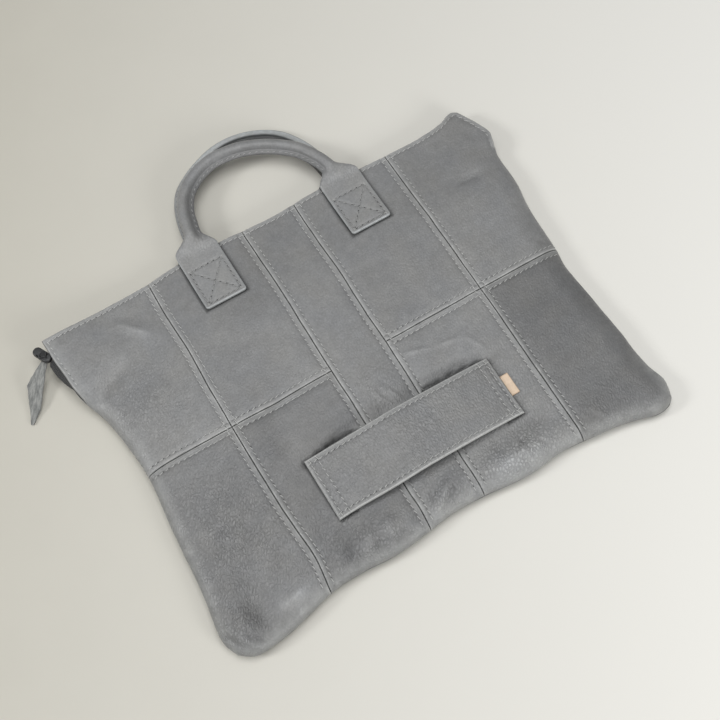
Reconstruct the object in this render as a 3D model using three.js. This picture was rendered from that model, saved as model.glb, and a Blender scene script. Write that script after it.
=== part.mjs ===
// A soft grey leather laptop pouch with two rolled handles, lying on its back with its front up.
//
// Millimetres, +Z up. +X runs across the pouch and +Y from its bottom seam to the zip. The origin is on the
// flat underside, below the point where the middle of the centre strip meets the cross seam.

import * as THREE from "three";
import { mergeVertices } from "three/addons/utils/BufferGeometryUtils.js";

const { clamp, degToRad, lerp, smoothstep } = THREE.MathUtils;

// Leather, and the gaps that keep the pieces apart
const WALL = 1.8;
const SEAM_GAP = 0.5;
const PIECE_GAP = 0.35;

// Heights of the body over the surface that it lies on
const CROWN_HEIGHT = 19;
const MOUTH_HEIGHT = 13.5;
const MOUTH_FALL = { from: 70, to: 150 };
const RIM_HEIGHT = 8;
const FRONT_ROUND = 22;
const BACK_ROUND = 15;

// Along the zipped ends of both sides the front and back stay apart and almost flat
const EDGE_DROP = 0.8;
const LEFT_OPEN = { from: 70, to: 92 };
const RIGHT_OPEN = { from: 100, to: 116 };

// The four edges of the body, seen from above, from corner to corner
const LEFT_EDGE = [
  { x: -195, y: -154.5 },
  { x: -200.5, y: -141 },
  { x: -196.5, y: -100 },
  { x: -193.5, y: -45 },
  { x: -190, y: 0 },
  { x: -193, y: 36 },
  { x: -198, y: 62 },
  { x: -204, y: 78 },
  { x: -207.6, y: 92 },
  { x: -209, y: 106 },
  { x: -210.8, y: 121 },
  { x: -211.5, y: 141.5 },
];
const RIGHT_EDGE = [
  { x: 195.5, y: -155 },
  { x: 199.4, y: -140.5 },
  { x: 195, y: -121 },
  { x: 193, y: -90 },
  { x: 190.5, y: -50 },
  { x: 189, y: -18 },
  { x: 191.5, y: 0 },
  { x: 193.5, y: 40 },
  { x: 198.5, y: 74 },
  { x: 199.6, y: 104 },
  { x: 202.2, y: 115.5 },
  { x: 204.2, y: 123 },
  { x: 201, y: 134 },
  { x: 196.3, y: 144.5 },
  { x: 191, y: 154.6 },
];
const BOTTOM_EDGE = [
  { x: -195, y: -154.5 },
  { x: -184, y: -162 },
  { x: -160, y: -161.3 },
  { x: -135, y: -156 },
  { x: -112, y: -150.3 },
  { x: -85, y: -149.3 },
  { x: -57, y: -151 },
  { x: 0, y: -145.5 },
  { x: 25, y: -146.5 },
  { x: 60, y: -150 },
  { x: 97, y: -147.5 },
  { x: 125, y: -150.3 },
  { x: 147, y: -153 },
  { x: 165, y: -157.4 },
  { x: 179, y: -161.2 },
  { x: 190, y: -159.4 },
  { x: 195.5, y: -155 },
];
const TOP_EDGE = [
  { x: -211.5, y: 141.5 },
  { x: -177, y: 143.4 },
  { x: -140, y: 145.5 },
  { x: -115, y: 147.3 },
  { x: -85, y: 150.2 },
  { x: -40, y: 151 },
  { x: 0, y: 149 },
  { x: 40, y: 151 },
  { x: 110, y: 150.5 },
  { x: 150, y: 150.6 },
  { x: 173, y: 152.9 },
  { x: 180.5, y: 156 },
  { x: 186, y: 157 },
  { x: 191, y: 154.6 },
];

// Seams of the front: four upright ones, and a cross seam that the centre strip interrupts
const SEAM_X = [-114.8, -24.7, 24.7, 114.8];
const CROSS_SEAM_Y = 0;
const SEAM_DIP = 0.8;
const SEAM_DIP_REACH = 6;

// Soft folds, hollows and swellings of the front: middle, direction, half sizes and height
const FOLDS = [
  { name: "ridge under the zip, left", x: -143, y: 115, turn: -45, along: 20, across: 6, rise: 1.6 },
  { name: "hollow over that ridge", x: -152, y: 128, turn: -40, along: 26, across: 10, rise: -1.2 },
  { name: "fold in from the left side", x: -186, y: 80, turn: 25, along: 22, across: 8, rise: -2.4 },
  { name: "swelling below that fold", x: -172, y: 46, turn: 20, along: 30, across: 16, rise: 1.5 },
  { name: "crease at the right side", x: 164, y: 93, turn: -7, along: 16, across: 5, rise: -1.2 },
  { name: "nip at the cross seam, right", x: 184, y: 8, turn: 20, along: 9, across: 4, rise: -1.6 },
  { name: "hollow over the strap, left", x: -46, y: -51, turn: 8, along: 26, across: 6, rise: -2.6 },
  { name: "hollow over the strap, right", x: 57, y: -50, turn: -3, along: 30, across: 6, rise: -2.8 },
  { name: "bed of the strap", x: 2, y: -82, turn: 0, along: 62, across: 30, rise: -2.6 },
  { name: "swelling of the centre strip", x: 4, y: -33, turn: 90, along: 26, across: 16, rise: 1.4 },
  { name: "crease under the strap", x: 0, y: -130, turn: 36, along: 13, across: 5, rise: 1.6 },
  { name: "hollow beside the left seam", x: -97, y: -110, turn: 70, along: 34, across: 14, rise: -2.2 },
  { name: "swelling at the bottom, left", x: -54, y: -133, turn: -3, along: 26, across: 11, rise: 1.8 },
  { name: "swelling at the bottom, right", x: 73, y: -136, turn: -6, along: 36, across: 10, rise: 1.6 },
  { name: "hollow over that swelling", x: 67, y: -120, turn: -6, along: 34, across: 9, rise: -1.4 },
  { name: "ridge to the left corner", x: -182, y: -122, turn: 88, along: 28, across: 9, rise: 1.4 },
  { name: "hollow beside that ridge", x: -163, y: -130, turn: 80, along: 28, across: 10, rise: -2 },
  { name: "ridge to the right corner", x: 145, y: -147, turn: -16, along: 30, across: 9, rise: 1.4 },
  { name: "crumple of the right seam", x: 122, y: -138, turn: -50, along: 12, across: 5, rise: -1.4 },
];

// Corners that stand off the surface: middle, reach and height
const LIFTS = [
  { name: "zip corner, left", x: -211, y: 142, reach: 95, rise: 9 },
  { name: "zip corner, right", x: 196, y: 150, reach: 60, rise: 2.5 },
];

// Handles: flat pads sewn on, and a rolled tube with a stitched edge along one side
const PAD = { width: 37, thickness: 3, length: 55 };
const TUBE_DIAMETER = 11;
const TUBE_EDGE = { reach: 3.5, sharpness: 6 };
const INNER_EDGE = 1;
const OUTER_EDGE = -1;
const SQUARENESS = { tube: 2, pad: 9 };
const SHOULDER = 15;
const HANDLE_STEP = 12;
const RING_SIDES = 14;
const FRONT_PADS = { left: { x: -66, y: 98 }, right: { x: 70, y: 95.7 } };
const FRONT_ARCH = [
  { x: -65.2, y: 158, z: 16.6 },
  { x: -63.7, y: 168, z: 17.8 },
  { x: -61.7, y: 178, z: 17.9 },
  { x: -58.4, y: 189.5, z: 17.9 },
  { x: -50.5, y: 203, z: 17.8 },
  { x: -36, y: 214.6, z: 17.8 },
  { x: -16.5, y: 221.4, z: 17.8 },
  { x: 8.8, y: 219.8, z: 17.8 },
  { x: 30, y: 211.5, z: 17.8 },
  { x: 46.8, y: 199.9, z: 17.8 },
  { x: 55.8, y: 190.8, z: 17.9 },
  { x: 62.5, y: 179.5, z: 17.9 },
  { x: 66.6, y: 170.5, z: 17.8 },
  { x: 69.2, y: 160, z: 17.2 },
];
const BACK_PADS = { left: { x: -62, y: 95.5 }, right: { x: 66.5, y: 95.5 } };
const BACK_ARCH = [
  { x: -61.5, y: 162 },
  { x: -60, y: 178 },
  { x: -56, y: 194 },
  { x: -48, y: 209.5 },
  { x: -35, y: 219.5 },
  { x: -21, y: 226.4 },
  { x: -6.5, y: 231.2 },
  { x: 10, y: 232.4 },
  { x: 29, y: 227.8 },
  { x: 46.5, y: 216.6 },
  { x: 57, y: 201 },
  { x: 62.5, y: 186.5 },
  { x: 65.4, y: 175 },
  { x: 66.4, y: 162 },
];

// The pads of the back handle hold the back off the surface along the zip
const PAD_LIFT = { from: 56, to: 84, rise: PAD.thickness + PIECE_GAP };

// Strap across the lower front, bowed up between its sewn ends, and the tab at its right end
const STRAP = { left: -81.5, right: 85, bottom: -109, top: -54.6, thickness: 3, columns: 16, rows: 4 };
const STRAP_BOW = { seat: 0.9, rise: 6.2, fullness: 0.8 };
const LABEL = { reach: 7.4, bottom: -91.8, top: -73.2, thickness: 1.2, columns: 2, rows: 3 };

// Zip: an upright tape inside the edges, its coil outside the tape, and the slider at the coil's left end.
// Past the slider the tape bulges out of the left side.
const TAPE_THICKNESS = 1;
const COIL = { depth: 2, height: 4.4 };
const ZIP_STEP = 15;
const MOUTH_CLEARANCE = 0.9;
const COIL_START = 3;
const ZIP_RAIL = [
  { x: -206, y: 95 },
  { x: -210, y: 101 },
  { x: -211.8, y: 108 },
  { x: -211.6, y: 114 },
  { x: -209.6, y: 120 },
  { x: -207.6, y: 126 },
  { x: -207.8, y: 135 },
  { x: -203.5, y: 138.2 },
  { x: -177, y: 139.3 },
  { x: -140, y: 141.4 },
  { x: -115, y: 143.2 },
  { x: -85, y: 146.1 },
  { x: -40, y: 147 },
  { x: 0, y: 145 },
  { x: 40, y: 147 },
  { x: 110, y: 146.5 },
  { x: 150, y: 146.7 },
  { x: 172, y: 149 },
  { x: 181.5, y: 152 },
  { x: 186, y: 152.4 },
  { x: 189.4, y: 149.8 },
  { x: 192.7, y: 142.6 },
  { x: 197.2, y: 132.6 },
  { x: 200.2, y: 122.9 },
  { x: 198.6, y: 117.5 },
];
const SLIDER = { x: -216.3, y: 132.2, length: 17, width: 8, thickness: 4.8, turn: -63 };
const SLIDER_CORNER = { radius: 3.8, bevel: 0.4, facets: 4 };
const PULL_DIRECTION = new THREE.Vector3(-31.5, -38.1, 0).normalize();
const PULL_EYE = { x: -215.8, y: 130.8, width: 5.4, depth: 2.4 };
const PULL_THICKNESS = 1.5;

// The pull runs from a flap on the slider down through the eye and out to its tip on the surface,
// as a leaf that leans to one side of its own line
const PULL_STATIONS = [
  { along: -2.6, z: 21.3, halfWidth: 1.8, lean: 0 },
  { along: -1.3, z: 21, halfWidth: 2.2, lean: 0 },
  { along: -0.1, z: 19.6, halfWidth: 2.2, lean: 0 },
  { along: 0, z: 17.4, halfWidth: 2.2, lean: 0 },
  { along: 0.1, z: 15.1, halfWidth: 2.2, lean: 0 },
  { along: 2.4, z: 13, halfWidth: 2.4, lean: 0 },
  { along: 8, z: 11.6, halfWidth: 3.6, lean: 1 },
  { along: 16, z: 9.3, halfWidth: 5.4, lean: 2.6 },
  { along: 23, z: 7.4, halfWidth: 6.5, lean: 3.5 },
  { along: 31, z: 5.2, halfWidth: 5.6, lean: 2 },
  { along: 39, z: 3.4, halfWidth: 4.6, lean: 0.6 },
  { along: 46, z: 2, halfWidth: 2.8, lean: 0.1 },
  { along: 53, z: 1.2, halfWidth: 1.1, lean: 0 },
];

// Colours
const LEATHER = { color: 0x84868a, roughness: 0.55, metalness: 0 };
const SUEDE = { color: 0xa7a8a6, roughness: 0.95, metalness: 0 };
const TAPE_CLOTH = { color: 0x2b2c2e, roughness: 0.9, metalness: 0 };
const DARK_NYLON = { color: 0x333436, roughness: 0.5, metalness: 0 };
const TAN_LEATHER = { color: 0xd8b993, roughness: 0.7, metalness: 0 };

// Numbers of facets: distances from a rim or a seam where a panel has a line, and cells between them
const RIM_STEPS = [0, 1.5, 5, 11, 19];
const SEAM_STEPS = [0, 5];
const COLUMN_WIDTHS = [77, 90, 49.4, 90, 77];
const HALF_HEIGHT = 150;
const PANEL_CELL = 14;
const BACK_CELL = 20;
const RIM_SAMPLES = 90;
const PAD_SHARES = [0, 0.25, 0.5, 0.75, 0.95];
const SHOULDER_SHARES = [0, 0.2, 0.35, 0.5, 0.65, 0.8];
const HALVINGS = 40;
const SAME_POINT = 1e-4;
const LOWER = 0;
const UPPER = 1;

const UP = new THREE.Vector3(0, 0, 1);

// Curves through the rows of a table
function smoothCurve(rows) {
  const points = rows.map(({ x, y, z = 0 }) => new THREE.Vector3(x, y, z));
  return new THREE.CatmullRomCurve3(points, false, "centripetal");
}

const EDGES = {
  left: smoothCurve(LEFT_EDGE),
  right: smoothCurve(RIGHT_EDGE),
  bottom: smoothCurve(BOTTOM_EDGE),
  top: smoothCurve(TOP_EDGE),
};

// Share of a curve's length at which one coordinate reaches a value
function shareAt(curve, axis, value) {
  let low = 0;
  let high = 1;
  for (let step = 0; step < HALVINGS; step += 1) {
    const middle = (low + high) / 2;
    if (curve.getPointAt(middle)[axis] < value) {
      low = middle;
    } else {
      high = middle;
    }
  }
  return low;
}

function stretch(curve, from, to) {
  return (share) => curve.getPointAt(lerp(from, to, share));
}

// Upright border of a column of panels, in its lower or upper half, from below to above
function uprightLine(border, half) {
  if (border === 0 || border === COLUMN_WIDTHS.length) {
    const edge = border === 0 ? EDGES.left : EDGES.right;
    const cross = shareAt(edge, "y", CROSS_SEAM_Y);
    return half === LOWER ? stretch(edge, 0, cross) : stretch(edge, cross, 1);
  }
  const x = SEAM_X[border - 1];
  const edge = half === LOWER ? EDGES.bottom : EDGES.top;
  const end = edge.getPointAt(shareAt(edge, "x", x));
  const cross = new THREE.Vector3(x, CROSS_SEAM_Y, 0);
  return (share) => cross.clone().lerp(end, half === LOWER ? 1 - share : share);
}

// Level border of a column: the bottom edge, the cross seam or the top edge, from left to right
function levelLine(column, level) {
  if (level === UPPER) {
    const from = uprightLine(column, UPPER)(0);
    const to = uprightLine(column + 1, UPPER)(0);
    return (share) => from.clone().lerp(to, share);
  }
  const edge = level === LOWER ? EDGES.bottom : EDGES.top;
  const from = column === 0 ? 0 : shareAt(edge, "x", SEAM_X[column - 1]);
  const to = column === SEAM_X.length ? 1 : shareAt(edge, "x", SEAM_X[column]);
  return stretch(edge, from, to);
}

// Plan of one panel: its four borders blended, as a function of the shares across and up
function panelPlan(column, half) {
  const left = uprightLine(column, half);
  const right = uprightLine(column + 1, half);
  const lower = levelLine(column, half);
  const upper = levelLine(column, half + 1);
  return (across, up) => {
    const sides = left(up).lerp(right(up), across);
    const ends = lower(across).lerp(upper(across), up);
    const corners = left(0).lerp(right(0), across).lerp(left(1).lerp(right(1), across), up);
    return sides.add(ends).sub(corners);
  };
}

// The sewn rim: down the left side, along the bottom and up the right side, as short straight stretches
const RIM = [
  { edge: EDGES.left, from: 1, to: 0 },
  { edge: EDGES.bottom, from: 0, to: 1 },
  { edge: EDGES.right, from: 0, to: 1 },
].flatMap(({ edge, from, to }) => {
  const along = stretch(edge, from, to);
  return Array.from({ length: RIM_SAMPLES }, (_, index) => {
    const line = new THREE.Line3(along(index / RIM_SAMPLES), along((index + 1) / RIM_SAMPLES));
    const run = line.delta(new THREE.Vector3()).normalize();
    return { line, inward: UP.clone().cross(run) };
  });
});

function nearRim(place) {
  const flat = new THREE.Vector3(place.x, place.y, 0);
  const nearest = new THREE.Vector3();
  let found = { distance: Infinity, inward: UP };
  RIM.forEach(({ line, inward }) => {
    const distance = line.closestPointToPoint(flat, true, nearest).distanceTo(flat);
    if (distance < found.distance) {
      found = { distance, inward };
    }
  });
  return found;
}

// Quarter of an ellipse: 0 at the rim, 1 where the rounding ends
function rounding(share) {
  return Math.sqrt(1 - (1 - clamp(share, 0, 1)) ** 2);
}

function openness(place) {
  const { from, to } = place.x < 0 ? LEFT_OPEN : RIGHT_OPEN;
  return smoothstep(place.y, from, to);
}

function lift(place) {
  return LIFTS.reduce((sum, { x, y, reach, rise }) => {
    const distance = Math.hypot(place.x - x, place.y - y);
    return sum + rise * (1 - smoothstep(distance, 0, reach));
  }, 0);
}

function foldHeight(place) {
  return FOLDS.reduce((sum, { x, y, turn, along, across, rise }) => {
    const angle = degToRad(turn);
    const east = place.x - x;
    const north = place.y - y;
    const u = (east * Math.cos(angle) + north * Math.sin(angle)) / along;
    const v = (north * Math.cos(angle) - east * Math.sin(angle)) / across;
    return sum + rise * Math.exp(-u * u - v * v);
  }, 0);
}

function seamDip(place) {
  const upright = Math.min(...SEAM_X.map((x) => Math.abs(place.x - x)));
  const onStrip = Math.abs(place.x) < SEAM_X[2];
  const distance = onStrip ? upright : Math.min(upright, Math.abs(place.y - CROSS_SEAM_Y));
  return SEAM_DIP * Math.exp(-((distance / SEAM_DIP_REACH) ** 2));
}

function crown(place) {
  const fall = smoothstep(place.y, MOUTH_FALL.from, MOUTH_FALL.to);
  return lerp(CROWN_HEIGHT, MOUTH_HEIGHT, fall) + foldHeight(place) - seamDip(place);
}

function backFloor(place) {
  return PAD_LIFT.rise * smoothstep(place.y, PAD_LIFT.from, PAD_LIFT.to);
}

// A wall's height at a distance in from the rim; depth is 0 on its outside and WALL on its inside
function frontHeight(place, distance = nearRim(place).distance, depth = 0) {
  const top = crown(place) - depth;
  const rim = lerp(RIM_HEIGHT + PIECE_GAP / 2, top - EDGE_DROP, openness(place));
  const round = rounding(distance / (FRONT_ROUND - depth));
  return lerp(rim, top, round) + lift(place);
}

function backHeight(place, distance = nearRim(place).distance, depth = 0) {
  const bottom = backFloor(place) + depth;
  const rim = lerp(RIM_HEIGHT - PIECE_GAP / 2, bottom + EDGE_DROP, openness(place));
  const round = rounding(distance / (BACK_ROUND - depth));
  return lerp(rim, bottom, round) + lift(place);
}

// Outside and inside of a wall under or over a place in plan; the inside stands in from the rim
function wallAt(place, height, round) {
  const { distance, inward } = nearRim(place);
  const inset = WALL * (1 - clamp(distance / round, 0, 1));
  const inner = place.clone().addScaledVector(inward, inset);
  const innerDistance = Math.max(0, distance + inset - WALL);
  return {
    outside: new THREE.Vector3(place.x, place.y, height(place, distance)),
    inside: inner.setZ(height(inner, innerDistance, WALL)),
  };
}

// Shares of a length at which a panel has a line: close together at a rim, even elsewhere
function stations(length, cell, startSteps, endSteps) {
  const first = startSteps.at(-1);
  const last = length - endSteps.at(-1);
  const cells = Math.max(1, Math.round((last - first) / cell));
  const between = Array.from({ length: cells - 1 }, (_, i) => lerp(first, last, (i + 1) / cells));
  const ending = endSteps.map((step) => length - step).reverse();
  return [...startSteps, ...between, ...ending].map((distance) => distance / length);
}

// Closed wall between an upper and a lower grid of points, rows from below to above
function slab(upper, lower) {
  const rows = upper.length;
  const columns = upper[0].length;
  const under = rows * columns;
  const at = (row, column) => row * columns + column;
  const faces = [];
  const quad = (a, b, c, d) => faces.push(a, b, c, a, c, d);
  for (let row = 0; row < rows - 1; row += 1) {
    for (let column = 0; column < columns - 1; column += 1) {
      const corners = [at(row, column), at(row, column + 1), at(row + 1, column + 1), at(row + 1, column)];
      quad(...corners);
      quad(...corners.map((index) => index + under).reverse());
    }
  }
  const border = [
    ...Array.from({ length: columns - 1 }, (_, i) => at(0, i)),
    ...Array.from({ length: rows - 1 }, (_, i) => at(i, columns - 1)),
    ...Array.from({ length: columns - 1 }, (_, i) => at(rows - 1, columns - 1 - i)),
    ...Array.from({ length: rows - 1 }, (_, i) => at(rows - 1 - i, 0)),
  ];
  border.forEach((from, i) => {
    const to = border[(i + 1) % border.length];
    quad(from + under, to + under, to, from);
  });
  return solid([...upper.flat(), ...lower.flat()], faces);
}

// Closed tube through rings of points that run clockwise round the way it goes
function loft(rings) {
  const sides = rings[0].length;
  const faces = [];
  for (let ring = 0; ring < rings.length - 1; ring += 1) {
    for (let side = 0; side < sides; side += 1) {
      const here = ring * sides + side;
      const beside = ring * sides + ((side + 1) % sides);
      faces.push(here, here + sides, beside, here + sides, beside + sides, beside);
    }
  }
  const last = (rings.length - 1) * sides;
  for (let side = 1; side < sides - 1; side += 1) {
    faces.push(0, side, side + 1, last, last + side + 1, last + side);
  }
  return solid(rings.flat(), faces);
}

function solid(points, faces) {
  const geometry = new THREE.BufferGeometry().setFromPoints(points);
  geometry.setIndex(faces);
  return geometry;
}

function piece(name, geometry, finish) {
  const mesh = new THREE.Mesh(geometry, new THREE.MeshStandardMaterial(finish));
  mesh.name = name;
  return mesh;
}

// Places in plan of one column and half, with half a seam gap left free along its seams
function panelGrid(column, halves, cell) {
  const lastColumn = SEAM_X.length;
  const width = COLUMN_WIDTHS[column];
  const startSteps = column === 0 ? RIM_STEPS : SEAM_STEPS;
  const endSteps = column === lastColumn ? RIM_STEPS : SEAM_STEPS;
  const margin = SEAM_GAP / 2;
  const from = column === 0 ? 0 : margin / width;
  const to = column === lastColumn ? 1 : 1 - margin / width;
  const acrossShares = stations(width, cell, startSteps, endSteps).map((share) => clamp(share, from, to));
  return halves.flatMap((half, order) => {
    const plan = panelPlan(column, half);
    const low = half === UPPER && order === 0 ? margin / HALF_HEIGHT : 0;
    const high = half === LOWER && halves.length === 1 ? 1 - margin / HALF_HEIGHT : 1;
    const upSteps = half === LOWER ? RIM_STEPS : SEAM_STEPS;
    const upShares = stations(HALF_HEIGHT, cell, upSteps, SEAM_STEPS).slice(order);
    return upShares.map((up) => acrossShares.map((across) => plan(across, clamp(up, low, high))));
  });
}

function frontPanel(name, column, halves) {
  const walls = panelGrid(column, halves, PANEL_CELL).map((row) =>
    row.map((place) => wallAt(place, frontHeight, FRONT_ROUND)),
  );
  const upper = walls.map((row) => row.map(({ outside }) => outside));
  const lower = walls.map((row) => row.map(({ inside }) => inside));
  return piece(name, slab(upper, lower), LEATHER);
}

// The back is one panel, so its grid has no lines along the seams of the front
function backPanel() {
  const lastColumn = COLUMN_WIDTHS.length - 1;
  const rows = [LOWER, UPPER].flatMap((half) => {
    const plans = COLUMN_WIDTHS.map((_, column) => panelPlan(column, half));
    const upStart = half === LOWER ? RIM_STEPS : [0];
    const upShares = stations(HALF_HEIGHT, BACK_CELL, upStart, half === LOWER ? [0] : SEAM_STEPS);
    const ups = half === LOWER ? upShares.slice(0, -1) : upShares.slice(1);
    return ups.map((up) =>
      plans.flatMap((plan, column) => {
        const startSteps = column === 0 ? RIM_STEPS : [0];
        const endSteps = column === lastColumn ? RIM_STEPS : [0];
        const shares = stations(COLUMN_WIDTHS[column], BACK_CELL, startSteps, endSteps);
        const first = column === 0 ? 0 : 1;
        const last = column === lastColumn ? shares.length : -1;
        return shares.slice(first, last).map((across) => plan(across, up));
      }),
    );
  });
  const walls = rows.map((row) => row.map((place) => wallAt(place, backHeight, BACK_ROUND)));
  const upper = walls.map((row) => row.map(({ inside }) => inside));
  const lower = walls.map((row) => row.map(({ outside }) => outside));
  return piece("back_panel", slab(upper, lower), LEATHER);
}

// Section of a handle: a flat pad near its ends, a tube with a stitched edge between them
function handleRing(centre, travel, flat, { edgeSide, heightAt }) {
  const side = travel.clone().setZ(0).normalize().cross(UP).multiplyScalar(edgeSide);
  const halfWidth = lerp(TUBE_DIAMETER, PAD.width, flat) / 2;
  const halfThickness = lerp(TUBE_DIAMETER, PAD.thickness, flat) / 2;
  const squareness = SQUARENESS.tube / lerp(SQUARENESS.tube, SQUARENESS.pad, flat);
  return Array.from({ length: RING_SIDES }, (_, index) => {
    const angle = (2 * Math.PI * index) / RING_SIDES;
    const across = Math.sign(Math.cos(angle)) * Math.abs(Math.cos(angle)) ** squareness;
    const high = Math.sign(Math.sin(angle)) * Math.abs(Math.sin(angle)) ** squareness;
    const edge = TUBE_EDGE.reach * (1 - flat) * Math.max(0, Math.cos(angle)) ** TUBE_EDGE.sharpness;
    const point = centre.clone().addScaledVector(side, across * halfWidth + edge);
    const level = heightAt({ point, centre, flat, halfThickness });
    return point.setZ(level + edgeSide * high * halfThickness);
  });
}

// Flatness of a handle at a distance from its nearer end: 1 on the pad, 0 on the tube
function padShare(distance) {
  return 1 - smoothstep(distance, PAD.length, PAD.length + SHOULDER);
}

function handle(name, route, lie) {
  const path = smoothCurve(route);
  const length = path.getLength();
  const steps = Math.round(length / HANDLE_STEP);
  const shoulderSteps = SHOULDER_SHARES.map((share) => PAD.length + share * SHOULDER);
  const distances = [
    ...Array.from({ length: steps + 1 }, (_, index) => (length * index) / steps),
    ...shoulderSteps,
    ...shoulderSteps.map((distance) => length - distance),
  ].sort((a, b) => a - b);
  const rings = distances.map((distance) => {
    const share = distance / length;
    const flat = padShare(Math.min(distance, length - distance));
    return handleRing(path.getPointAt(share), path.getTangentAt(share), flat, lie);
  });
  return piece(name, loft(rings), LEATHER);
}

// The pads of the front handle follow the front, and its tube lies on the back handle
function frontHandle() {
  const padHeight = PIECE_GAP + PAD.thickness / 2;
  const padRows = ({ x, y }) =>
    PAD_SHARES.map((share) => {
      const place = new THREE.Vector3(x, y + share * PAD.length, 0);
      return place.setZ(frontHeight(place) + padHeight);
    });
  const route = [...padRows(FRONT_PADS.left), ...FRONT_ARCH, ...padRows(FRONT_PADS.right).reverse()];
  const heightAt = ({ point, centre, flat }) => centre.z + flat * (frontHeight(point) - frontHeight(centre));
  return handle("front_handle", route, { edgeSide: INNER_EDGE, heightAt });
}

// The back handle lies on the surface, so its middle is half its own thickness up
function backHandle() {
  const padRows = ({ x, y }) => PAD_SHARES.map((share) => ({ x, y: y + share * PAD.length }));
  const route = [...padRows(BACK_PADS.left), ...BACK_ARCH, ...padRows(BACK_PADS.right).reverse()];
  const heightAt = ({ halfThickness }) => halfThickness;
  return handle("back_handle", route, { edgeSide: OUTER_EDGE, heightAt });
}

// Flat piece laid over the front, from its underside's height
function laidPiece(name, box, underside, finish) {
  const { columns, rows } = box;
  const grid = Array.from({ length: rows + 1 }, (_, row) =>
    Array.from({ length: columns + 1 }, (_unused, column) => {
      const x = lerp(box.left, box.right, column / columns);
      const y = lerp(box.bottom, box.top, row / rows);
      return new THREE.Vector3(x, y, underside(x, y));
    }),
  );
  const upper = grid.map((row) => row.map((point) => point.clone().addScaledVector(UP, box.thickness)));
  return piece(name, slab(upper, grid), finish);
}

function strapUnderside(x, y) {
  const share = (x - STRAP.left) / (STRAP.right - STRAP.left);
  const left = frontHeight(new THREE.Vector3(STRAP.left, y, 0));
  const right = frontHeight(new THREE.Vector3(STRAP.right, y, 0));
  const bow = STRAP_BOW.rise * Math.sin(Math.PI * share) ** STRAP_BOW.fullness;
  return lerp(left, right, share) + STRAP_BOW.seat + bow;
}

function labelTab() {
  const left = STRAP.right + PIECE_GAP;
  const box = { ...LABEL, left, right: STRAP.right + LABEL.reach };
  const underside = (x, y) => frontHeight(new THREE.Vector3(x, y, 0)) + PIECE_GAP;
  return laidPiece("label_tab", box, underside, TAN_LEATHER);
}

// Heights between which the zip stands at a place: the inside of the back and of the front
function mouthAt(place) {
  const low = backHeight(place) + WALL + MOUTH_CLEARANCE;
  const high = frontHeight(place) - WALL - MOUTH_CLEARANCE;
  return { low, high, middle: (low + high) / 2 };
}

// Places along the zip's rail, each with its way out of the pouch and the mouth there
function zipStations() {
  const rail = smoothCurve(ZIP_RAIL);
  const steps = Math.round(rail.getLength() / ZIP_STEP);
  return Array.from({ length: steps + 1 }, (_, index) => {
    const place = rail.getPointAt(index / steps);
    const outward = UP.clone().cross(rail.getTangentAt(index / steps));
    return { place, outward, mouth: mouthAt(place) };
  });
}

// Strip along the zip, standing out from its rail by a range, with its heights taken from the mouth
function zipStrip(name, start, out, section, finish) {
  const rings = zipStations().slice(start).map(({ place, outward, mouth }) => {
    const { low, high } = section(mouth);
    return [
      { reach: out.to, z: low },
      { reach: out.from, z: low },
      { reach: out.from, z: high },
      { reach: out.to, z: high },
    ].map(({ reach, z }) => place.clone().addScaledVector(outward, reach).setZ(z));
  });
  return piece(name, loft(rings), finish);
}

function zipTape() {
  const half = TAPE_THICKNESS / 2;
  return zipStrip("zip_tape", 0, { from: -half, to: half }, (mouth) => mouth, TAPE_CLOTH);
}

function zipCoil() {
  const from = TAPE_THICKNESS / 2 + PIECE_GAP;
  const half = COIL.height / 2;
  const section = ({ middle }) => ({ low: middle - half, high: middle + half });
  return zipStrip("zip_coil", COIL_START, { from, to: from + COIL.depth }, section, DARK_NYLON);
}

function roundedOutline(box, radius) {
  const shape = new THREE.Shape();
  shape.moveTo(box.left + radius, box.bottom);
  shape.absarc(box.right - radius, box.bottom + radius, radius, -Math.PI / 2, 0);
  shape.absarc(box.right - radius, box.top - radius, radius, 0, Math.PI / 2);
  shape.absarc(box.left + radius, box.top - radius, radius, Math.PI / 2, Math.PI);
  shape.absarc(box.left + radius, box.bottom + radius, radius, Math.PI, Math.PI * 1.5);
  return shape;
}

// Slider body with an upright eye, which the pull runs through
function zipSlider() {
  const { radius, bevel, facets } = SLIDER_CORNER;
  const halfLength = SLIDER.length / 2;
  const halfWidth = SLIDER.width / 2;
  const box = { left: -halfLength, right: halfLength, bottom: -halfWidth, top: halfWidth };
  const shape = roundedOutline(box, radius);
  const turn = degToRad(SLIDER.turn);
  const sideways = UP.clone().cross(PULL_DIRECTION);
  const corners = [
    { along: -1, side: -1 },
    { along: -1, side: 1 },
    { along: 1, side: 1 },
    { along: 1, side: -1 },
  ].map(({ along, side }) =>
    new THREE.Vector3(PULL_EYE.x - SLIDER.x, PULL_EYE.y - SLIDER.y, 0)
      .addScaledVector(PULL_DIRECTION, (along * PULL_EYE.depth) / 2)
      .addScaledVector(sideways, (side * PULL_EYE.width) / 2)
      .applyAxisAngle(UP, -turn),
  );
  shape.holes.push(new THREE.Path(corners.map(({ x, y }) => new THREE.Vector2(x, y))));
  const extruded = new THREE.ExtrudeGeometry(shape, {
    depth: SLIDER.thickness - 2 * bevel,
    bevelThickness: bevel,
    bevelSize: bevel,
    bevelOffset: -bevel,
    bevelSegments: 1,
    curveSegments: facets,
  });
  extruded.deleteAttribute("normal");
  extruded.deleteAttribute("uv");
  const mesh = piece("zip_slider", mergeVertices(extruded, SAME_POINT), DARK_NYLON);
  const { middle } = zipStations()[COIL_START].mouth;
  mesh.position.set(SLIDER.x, SLIDER.y, middle - SLIDER.thickness / 2 + bevel);
  mesh.rotation.z = turn;
  return mesh;
}

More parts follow.
